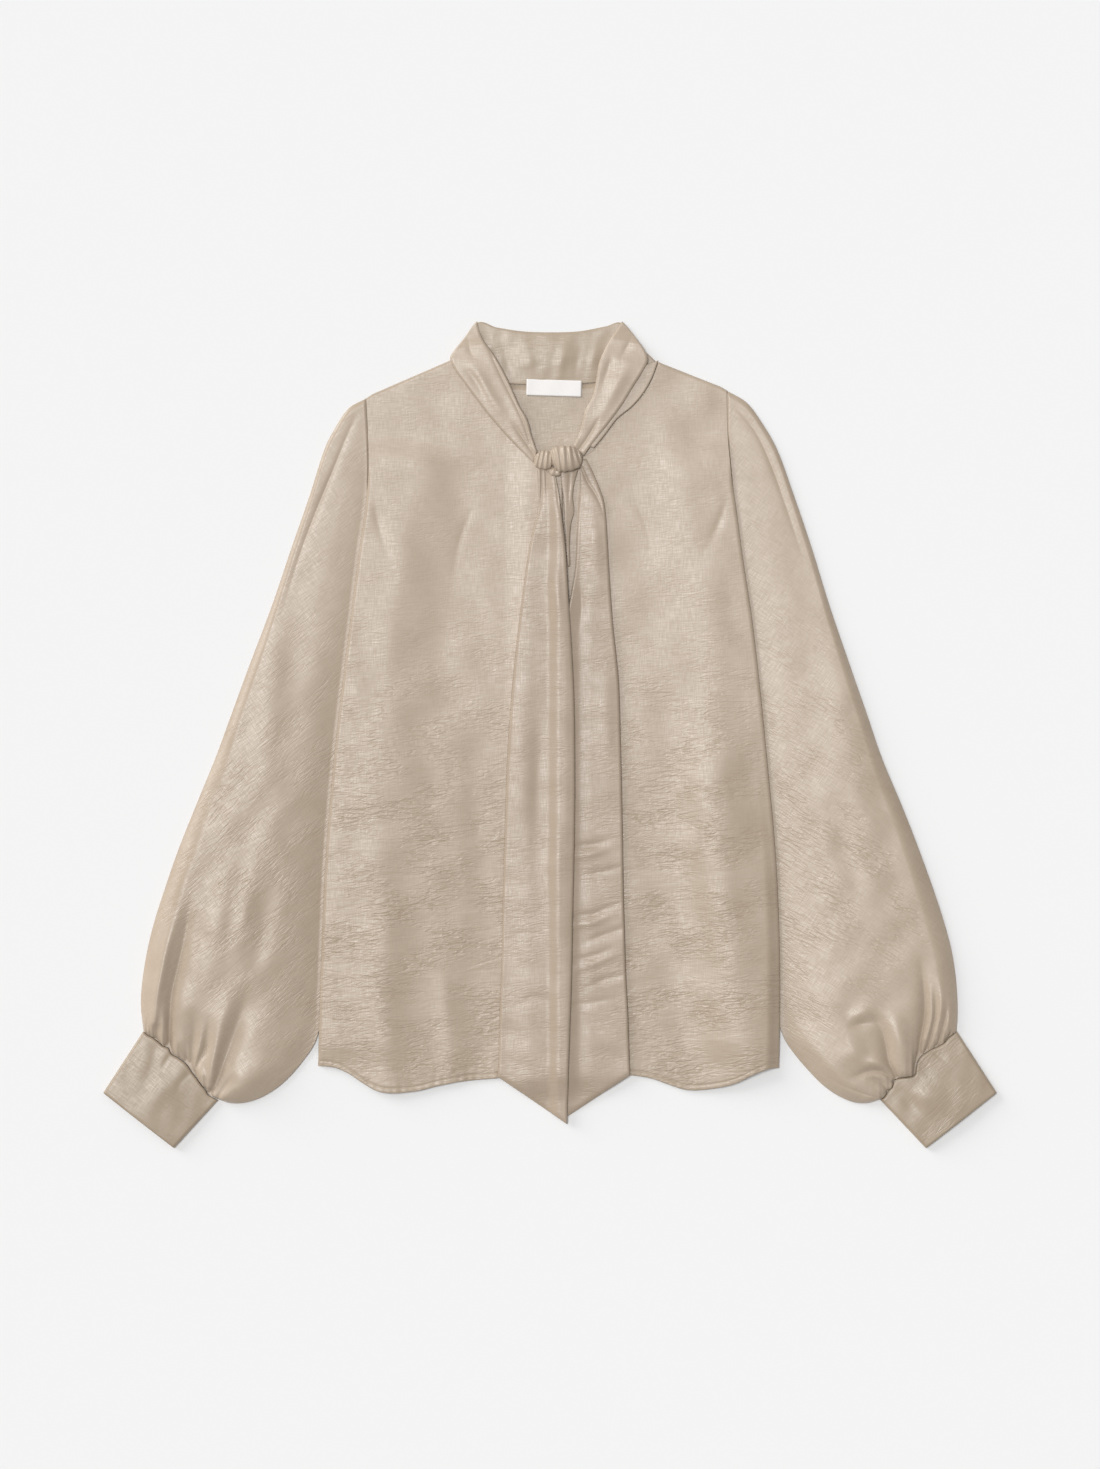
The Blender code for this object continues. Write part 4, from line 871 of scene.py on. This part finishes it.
def add_cuff(side, rows, folds):
    """A deep cuff, a doubled band pressed flat, with soft dents where the sleeve pulls at it."""
    sign = sign_of(side)
    t = np.linspace(0, 1, CUFF_ROWS)
    u = eased(CUFF_COLUMNS)
    outer = edge_points(rows, "outer_out", "outer_y")
    inner = edge_points(rows, "inner_out", "inner_y")
    outer = outer[0] + (outer[1] - outer[0]) * t[:, None]
    inner = inner[0] + (inner[1] - inner[0]) * t[:, None]
    plan = between(outer, inner, u)
    plan = plan + seam_shift(side, plan[0], u) * (1 - smooth(t / 0.4))[:, None, None]
    plan = plan * np.array([sign, 1.0])
    crown = 0.75 + 0.25 * np.clip(4 * u * (1 - u), 0, 1) ** 0.7
    height = CUFF_TOP * crown * (0.82 + 0.18 * smooth(t[:, None] / 0.5))
    from_end, from_seam = (1 - t[:, None]) * CUFF_DEPTH, t[:, None] * CUFF_DEPTH
    height = height + relief(folds, plan[..., 0], plan[..., 1])
    height = height + 0.12 * ripples(31, plan[..., 0], plan[..., 1], 7, 24)
    height -= rolled(from_end, *CUFF_END_ROLL) + rolled(from_seam, *CUFF_SEAM_ROLL)
    rings = flat_tube(
        plan, height, middle=1.9, low=0.2, reach_top=2.6, reach_low=1.8, under=CUFF_UNDER_COLUMNS
    )
    uv = turned(rings[..., 0], rings[..., 1], radians(CUFF_TURN) * -sign)
    name = "cuff_" + side
    piece = add_tube(name, rings, satin_cuff_shaded, [name], CUFF_WALL, 0.3, uv)


def loft(left, right, rows, columns):
    """Plan points between two edges, each a smooth path through its own points."""
    a, b = smooth_path(left, rows), smooth_path(right, rows)
    u = eased(columns)
    u = 0.5 * u + 0.5 * np.linspace(0, 1, columns)
    return between(a, b, u)


def add_band(name, plan, seat, height, folds, material, nodes, crinkle, wave=0.15):
    """A doubled strip, as a collar or tie is: a flattened tube with soft edges, closed at its ends."""
    x, y = plan[..., 0], plan[..., 1]
    _, width = edge_distance(plan)
    rise = height * np.clip(width / 30.0, 0.35, 1.0)[:, None]
    top = seat + rise + relief(folds, x, y) + wave * ripples(41, x, y, 7, 26, turn=1.2)
    middle = seat + 0.34 * rise
    end = np.minimum(np.arange(len(plan)), len(plan) - 1 - np.arange(len(plan)))[:, None]
    top = middle + (top - middle) * round_edge(end + 0.15, 3.0)
    reach = np.minimum(2.6, 0.3 * width)[:, None]
    rings = flat_tube(plan, top, middle, seat, reach, reach * 0.6, under=BAND_UNDER_COLUMNS)
    uv = turned(rings[..., 0], rings[..., 1], 0.0)
    piece = add_tube(
        name, rings, material, nodes, BAND_WALL, crinkle, uv, capped=True
    )


def add_collar(side, rows, folds):
    """A collar band that folds over at the neck and narrows to the knot."""
    outer = edge_points(rows, "outer_x", "outer_y")
    inner = edge_points(rows, "inner_x", "inner_y")
    plan = loft(outer, inner, 120, BAND_COLUMNS)
    s = np.linspace(0, 1, len(plan))
    seat = np.interp(s, np.linspace(0, 1, len(rows)), column(rows, "seat"))[:, None]
    seat = seat + lap_rise(plan[..., 0])
    name = "collar_" + side
    add_band(name, plan, seat, BAND_HEIGHT, folds, satin_collar_lit, [name], BAND_CRINKLE)


def add_collar_back():
    """The back of the collar, inner side up, with soft upright folds and a rolled top edge."""
    u, r = np.meshgrid(np.linspace(0, 1, 160), np.linspace(0, 1, 46))
    x = -88.0 + 188.0 * u
    low = edge_line(NECK_BACK, x) + 0.3
    high = curve(column(COLLAR_BACK_TOP, "x"), column(COLLAR_BACK_TOP, "y"), x)
    y = low * (1 - r) + high * r
    crown = COLLAR_BACK_CROWN * smooth(1.0 - np.abs(x) / 62.0) * np.sin(np.pi * r) ** 0.8
    top = LAYER + crown + relief(COLLAR_BACK_FOLDS, x, y) * np.sin(np.pi * np.clip(r, 0.1, 0.95))
    top -= rolled(high - y, *COLLAR_TOP_ROLL)
    top += 0.1 * ripples(3, x, y, 6, 18)
    top = np.maximum(top, COLLAR_BACK_LOW)
    piece = add_sheet("collar_back", x, y, top, satin_inside_shaded, crinkle=0.3)


def add_neck_stand():
    """The strip of band that shows outside the left collar."""
    outer = edge_points(NECK_STAND, "outer_x", "outer_y")
    inner = edge_points(NECK_STAND, "inner_x", "inner_y")
    plan = loft(outer, inner, 80, 20)
    distance = np.linalg.norm(plan - plan[:, :1], axis=-1)
    top = PANEL_TOP + STAND_TOP - rolled(distance, *STAND_ROLL)
    x, y = plan[..., 0], plan[..., 1]
    piece = add_sheet("neck_stand_left", x, y, top, satin_collar_lit, crinkle=BAND_CRINKLE)


def tie_seat(x, y):
    """Underside of a tie: just over the fronts, and down to the floor past the hem."""
    on_front = PANEL_TOP + FRONT_GAP + SEAM_GAP + lap_rise(x)
    past_hem = (hem_y(x) - 2.0 - y) / 27.0
    return on_front * (1.0 - smooth(past_hem)) + 0.2


def tie_edges(rows):
    left = edge_points(rows, "left_x", "left_y")
    right = edge_points(rows, "right_x", "right_y")
    return left, right


def add_tie_left():
    """The tie end that lies below, crumpled level with its lower half."""
    plan = loft(*tie_edges(TIE_LEFT), TIE_ROWS, BAND_COLUMNS)
    x, y = plan[..., 0], plan[..., 1]
    height = 2.6 + 0.7 * smooth((x - 26.0) / 14.0)
    add_band("tie_left", plan, tie_seat(x, y), height, TIE_FOLDS_LEFT, satin_tie_shaded, ["tie_left"],
             0.45)


def add_tie_right():
    """The tie end on top, lifted where it crosses the other one."""
    plan = loft(*tie_edges(TIE_RIGHT), TIE_ROWS, BAND_COLUMNS)
    x, y = plan[..., 0], plan[..., 1]
    over = TIE_OVER * smooth((x + 3.0) / 12.0)
    add_band("tie_right", plan, tie_seat(x, y) + over, 3.4, TIE_FOLDS_RIGHT, satin_tie_shaded, ["tie_right"],
             0.4)


def add_tie_fold():
    """The narrow fold that shows between the two tie ends below the knot."""
    plan = loft(*tie_edges(TIE_FOLD), 90, 24)
    x, y = plan[..., 0], plan[..., 1]
    folds = (Fold(-0.8, 1.4, 1.4, 1, 0, True, ((19, 250), (18, 232), (17.5, 214))),)
    add_band("tie_fold", plan, tie_seat(x, y) + 0.2, 3.0, folds, satin_tie_shaded, ["tie_fold"],
             0.2, wave=0.3)


def lobe_mesh(lobe):
    """One puff of the knot: rings across a bent middle line, drawn in at both ends.

    A ring is a rounded arch, cut by pleats that run across it as ripples of its radius.
    """
    rows, turn_steps = KNOT_ROWS, KNOT_RING
    table = np.array([[s.x, s.y, s.half_across, s.top] for s in lobe.sections])
    line = smooth_path(table, rows)
    s = np.linspace(0, 1, rows)
    turn = np.linspace(0, 2 * np.pi, turn_steps, endpoint=False)
    draw_in = np.sqrt(np.clip(1 - (2 * s - 1) ** 6, 0.02, 1))
    step = np.gradient(line[:, :2], axis=0)
    step /= np.linalg.norm(step, axis=1)[:, None]
    across = np.stack([-step[:, 1], step[:, 0]], axis=1)
    pleat = np.sin(2 * np.pi * lobe.pleats * s + 0.9 * np.sin(5 * s))[:, None]
    over = np.clip(np.sin(turn), 0, 1) ** 0.5
    swell = 1 + 0.06 * pleat * (0.4 + 0.6 * over)
    half = (line[:, 2] * draw_in)[:, None] * swell
    rise = ((line[:, 3] - KNOT_LOW) / 2 * draw_in)[:, None]
    round_y = np.sign(np.cos(turn)) * np.abs(np.cos(turn)) ** 0.85
    round_z = np.sign(np.sin(turn)) * np.abs(np.sin(turn)) ** 0.85
    sideways = half * round_y
    z = KNOT_LOW + (line[:, 3:4] - KNOT_LOW) / 2 + rise * round_z
    z = z + lobe.pleat_depth * pleat * over
    x = line[:, :1] + across[:, :1] * sideways
    y = line[:, 1:2] + across[:, 1:] * sideways
    points = np.stack([x, y, z], axis=-1)
    faces = list(grid_faces(rows, turn_steps, closed=True))
    faces += [np.arange(turn_steps)[::-1], np.arange(turn_steps) + (rows - 1) * turn_steps]
    return points.reshape(-1, 3), faces


def add_knot():
    """The knot: three puffs of gathered cloth joined into one mesh."""
    all_points, all_faces, start = [], [], 0
    for lobe in KNOT_LOBES:
        points, faces = lobe_mesh(lobe)
        all_points.append(points)
        all_faces += [face + start for face in faces]
        start += len(points)
    points = np.concatenate(all_points)
    uv = turned(points[:, 0], points[:, 1], radians(90.0))
    add_piece("knot", points, all_faces, uv, 0.2, satin_collar_lit, ["knot"])


def add_label():
    """The woven label, left bare, with its two short ends folded under."""
    u, v = np.meshgrid(np.linspace(-0.5, 0.5, 60), np.linspace(-0.5, 0.5, 20))
    across, up = u * LABEL_SIZE[0], v * LABEL_SIZE[1]
    x = LABEL_CENTRE.x + across * np.cos(LABEL_TILT) - up * np.sin(LABEL_TILT)
    y = LABEL_CENTRE.y + across * np.sin(LABEL_TILT) + up * np.cos(LABEL_TILT)
    from_edge = np.minimum(LABEL_SIZE[0] / 2 - np.abs(across), LABEL_SIZE[1] / 2 - np.abs(up))
    top = LAYER + 1.5 - rolled(from_edge, *LABEL_ROLL) + 0.12 * ripples(7, x, y, 4, 26)
    label = add_sheet("neck_label", x, y, top, label_tape, LABEL_WALL, 0.0)


# Painted shade: crushed satin is made darker and a little warmer, standing for the shade in its
# crinkles.
CRINKLE_SHADE_TONE = (0.93, 0.92, 0.905, 1.0)
YARN_GAP_TONE = (0.93, 0.925, 0.915, 1.0)
# Painted shade in the crease lines.
CREASE_SHADE_TONE = (0.93, 0.91, 0.89, 1.0)
SATIN_ROUGHNESS = (0.30, 0.44)
SATIN_SHEEN = 0.15
SATIN_IOR = 1.52
CREASE_DEPTH = 0.2
WEAVE_DEPTH = 0.04
RIB_LENGTH = 3.0
RIB_WIDTH = 0.5


def hex_colour(code):
    """An sRGB hex colour as linear RGBA."""
    parts = [int(code[i : i + 2], 16) / 255 for i in (1, 3, 5)]
    return tuple(p / 12.92 if p <= 0.04045 else ((p + 0.055) / 1.055) ** 2.4 for p in parts) + (1.0,)


def node(tree, kind, links=(), **values):
    """Adds a node, sets its properties and sockets by name, and links the named sockets."""
    made = tree.nodes.new(kind)
    for name, value in values.items():
        socket = name.replace("_", " ")
        if socket in made.inputs:
            made.inputs[socket].default_value = value
        else:
            setattr(made, name, value)
    for socket, source in dict(links).items():
        tree.links.new(source, made.inputs[socket])
    return made


def washed_satin(name, colour, shade):
    """Washed viscose satin: a close weave of long floats, crushed by washing.

    It gives a soft silky gloss. Washing leaves thin level creases that are short, wavy and
    gathered in patches, and clouds of a slightly darker and lighter dye. The yarn is a little
    uneven both ways. The crinkle attribute says how crushed a place is: how strong its crease
    bumps are, and how much painted shade darkens it and its crease lines.
    """
    material = bpy.data.materials.new(name)
    material.use_nodes = True
    tree = material.node_tree
    shader = tree.nodes["Principled BSDF"]
    cloth = node(tree, "ShaderNodeUVMap", uv_map="cloth").outputs["UV"]
    crinkle = node(tree, "ShaderNodeAttribute", attribute_name="crinkle").outputs["Fac"]

    def noise(weft, warp, detail, rough=0.5, distortion=0.0, rise=0.0):
        """Noise in patches of weft by warp millimetres, rising to the right by an angle."""
        placed = node(
            tree, "ShaderNodeMapping", {"Vector": cloth}, vector_type="TEXTURE",
            Rotation=(0.0, 0.0, rise), Scale=(weft * MM, warp * MM, 1.0),
        ).outputs["Vector"]
        return node(
            tree, "ShaderNodeTexNoise", {"Vector": placed},
            Scale=1.0, Detail=detail, Roughness=rough, Distortion=distortion,
        ).outputs["Fac"]

    def spread(value, low, high, to_low=0.0, to_high=1.0):
        return node(
            tree, "ShaderNodeMapRange", {"Value": value},
            From_Min=low, From_Max=high, To_Min=to_low, To_Max=to_high,
        ).outputs["Result"]

    def maths(operation, a, b):
        made = node(tree, "ShaderNodeMath", operation=operation)
        for socket, value in zip(made.inputs, (a, b)):
            if isinstance(value, float):
                socket.default_value = value
            else:
                tree.links.new(value, socket)
        return made.outputs[0]

    def crease(weft, warp, half_width, rise):
        """Thin wavy lines: where a stretched noise passes its middle value."""
        off = maths("SUBTRACT", noise(weft, warp, 1.0, 0.5, 0.1, rise), 0.5)
        return spread(maths("ABSOLUTE", off, 0.0), 0.0, half_width, 1.0, 0.0)

    def multiply(base, factor, colour):
        made = node(
            tree, "ShaderNodeMix", {"Factor": factor, "A": base},
            data_type="RGBA", blend_type="MULTIPLY",
        )
        made.inputs["B"].default_value = colour
        return made.outputs["Result"]

    patches = spread(noise(46.0, 30.0, 2.0), 0.38, 0.6)
    lines = maths("MULTIPLY", crease(26.0, 5.0, 0.07, radians(5.0)), patches)
    fine_lines = maths("MULTIPLY", crease(13.0, 3.0, 0.09, radians(10.0)), patches)
    swell = noise(34.0, 8.0, 2.0, 0.5, 0.6, radians(4.0))
    weft_yarn = noise(14.0, 1.0, 2.0)
    warp_yarn = noise(1.1, 12.0, 2.0)
    yarn = maths("ADD", weft_yarn, warp_yarn)
    cloud = noise(48.0, 36.0, 5.0, 0.62)

    tint = node(tree, "ShaderNodeMix", {"Factor": spread(cloud, 0.3, 0.7)}, data_type="RGBA")
    tint.inputs["A"].default_value = hex_colour(shade)
    tint.inputs["B"].default_value = hex_colour(colour)
    base = multiply(tint.outputs["Result"], spread(yarn, 0.8, 1.2), YARN_GAP_TONE)
    # Painted shade: crushed places are darkened, for the shade in their crinkles.
    base = multiply(base, crinkle, CRINKLE_SHADE_TONE)
    # Painted shade along the crease lines, where the satin is crushed.
    shown = maths("MULTIPLY", lines, crinkle)
    base = multiply(base, shown, CREASE_SHADE_TONE)
    tree.links.new(base, shader.inputs["Base Color"])

    tree.links.new(spread(yarn, 0.7, 1.3, *SATIN_ROUGHNESS), shader.inputs["Roughness"])
    shader.inputs["Sheen Weight"].default_value = SATIN_SHEEN
    shader.inputs["Sheen Roughness"].default_value = 0.4
    shader.inputs["IOR"].default_value = SATIN_IOR

    creased = maths("ADD", maths("MULTIPLY", lines, -1.0), maths("MULTIPLY", fine_lines, 0.6))
    crushed = maths("MULTIPLY", maths("ADD", creased, maths("MULTIPLY", swell, 1.6)), crinkle)
    creases = node(
        tree, "ShaderNodeBump", {"Height": crushed}, Strength=1.0, Distance=CREASE_DEPTH * MM
    )
    weave = node(
        tree, "ShaderNodeBump", {"Height": yarn, "Normal": creases.outputs["Normal"]},
        Strength=0.5, Distance=WEAVE_DEPTH * MM,
    )
    tree.links.new(weave.outputs["Normal"], shader.inputs["Normal"])
    return material


def woven_tape():
    """Polyester label tape: a dense white ribbon whose fine cross ribs catch a faint sheen."""
    material = bpy.data.materials.new("woven_label_tape")
    material.use_nodes = True
    tree = material.node_tree
    shader = tree.nodes["Principled BSDF"]
    cloth = node(tree, "ShaderNodeUVMap", uv_map="cloth").outputs["UV"]
    ribs = node(
        tree, "ShaderNodeMapping", {"Vector": cloth}, Scale=(1000 / RIB_LENGTH, 1000 / RIB_WIDTH, 1.0)
    ).outputs["Vector"]
    thread = node(tree, "ShaderNodeTexNoise", {"Vector": ribs}, Scale=1.0, Detail=2.0)
    tint = node(tree, "ShaderNodeMix", {"Factor": thread.outputs["Fac"]}, data_type="RGBA")
    tint.inputs["A"].default_value = hex_colour(LABEL_SHADE)
    tint.inputs["B"].default_value = hex_colour(LABEL_WHITE)
    tree.links.new(tint.outputs["Result"], shader.inputs["Base Color"])
    shader.inputs["Roughness"].default_value = 0.6
    bump = node(tree, "ShaderNodeBump", {"Height": thread.outputs["Fac"]}, Distance=0.08 * MM)
    tree.links.new(bump.outputs["Normal"], shader.inputs["Normal"])
    return material


def plain_paper(colour):
    """Matt studio paper for the floor."""
    material = bpy.data.materials.new("studio_paper")
    material.use_nodes = True
    shader = material.node_tree.nodes["Principled BSDF"]
    shader.inputs["Base Color"].default_value = hex_colour(colour)
    shader.inputs["Roughness"].default_value = 0.95
    shader.inputs["Specular IOR Level"].default_value = 0.1
    return material


def add_sun(name, to_light, strength, size):
    """A soft distant light. to_light points from the floor to the light."""
    data = bpy.data.lights.new(name, "SUN")
    data.energy = strength
    data.angle = radians(size)
    lamp = bpy.data.objects.new(name, data)
    bpy.context.scene.collection.objects.link(lamp)
    lamp.rotation_mode = "QUATERNION"
    lamp.rotation_quaternion = Vector(to_light).to_track_quat("Z", "Y")


def add_studio():
    """Pale floor, even white surroundings, soft lights from above and from the side, the camera."""
    mesh = bpy.data.meshes.new("floor")
    half = FLOOR_HALF
    corners = [(-half, -half, 0), (half, -half, 0), (half, half, 0), (-half, half, 0)]
    mesh.from_pydata(corners, [], [(0, 1, 2, 3)])
    mesh.materials.append(plain_paper("#f4f4f4"))
    floor = bpy.data.objects.new("floor", mesh)
    bpy.context.scene.collection.objects.link(floor)

    world = bpy.data.worlds.new("studio")
    world.use_nodes = True
    world.node_tree.nodes["Background"].inputs["Color"].default_value = (1.0, 1.0, 1.0, 1.0)
    world.node_tree.nodes["Background"].inputs["Strength"].default_value = SURROUND_STRENGTH
    bpy.context.scene.world = world
    add_sun("softbox", *SOFTBOX)
    add_sun("low_side", *LOW_SIDE)

    data = bpy.data.cameras.new("camera")
    data.lens = LENS
    data.sensor_width = SENSOR
    data.clip_end = 100.0
    camera = bpy.data.objects.new("camera", data)
    bpy.context.scene.collection.objects.link(camera)
    distance = VIEW_HEIGHT * LENS / SENSOR
    camera.location = (0.0, VIEW_CENTRE_Y * MM, (distance + SHARPEST_HEIGHT) * MM)
    bpy.context.scene.camera = camera
    bpy.context.scene.view_settings.view_transform = "Standard"


satin = washed_satin("washed_viscose_satin", "#c1b09d", "#b8a692")
# Copies of the one satin in darker tones for the cuffs, tie ends and inside: painted shade.
satin_cuff_shaded = washed_satin("washed_satin_cuff_painted_shade", "#b1a08b", "#a79580")
# A lighter copy of the satin for the collar, knot and neck stand: painted light.
satin_collar_lit = washed_satin("washed_satin_collar_painted_light", "#c4b3a0", "#bba996")
satin_tie_shaded = washed_satin("washed_satin_tie_painted_shade", "#bba997", "#b09e8a")
satin_inside_shaded = washed_satin("washed_satin_inside_painted_shade", "#bdac98", "#b1a08b")
label_tape = woven_tape()

add_back()
add_front("right")
add_front("left")
add_sleeve("right", SLEEVE_RIGHT, SLEEVE_FOLDS_RIGHT)
add_sleeve("left", SLEEVE_LEFT, SLEEVE_FOLDS_LEFT)
add_cuff("right", CUFF_RIGHT, CUFF_FOLDS_RIGHT)
add_cuff("left", CUFF_LEFT, CUFF_FOLDS_LEFT)
add_collar_back()
add_collar("right", COLLAR_RIGHT, COLLAR_FOLDS_RIGHT)
add_collar("left", COLLAR_LEFT, COLLAR_FOLDS_LEFT)
add_neck_stand()
add_tie_left()
add_tie_fold()
add_tie_right()
add_knot()
add_label()
add_studio()
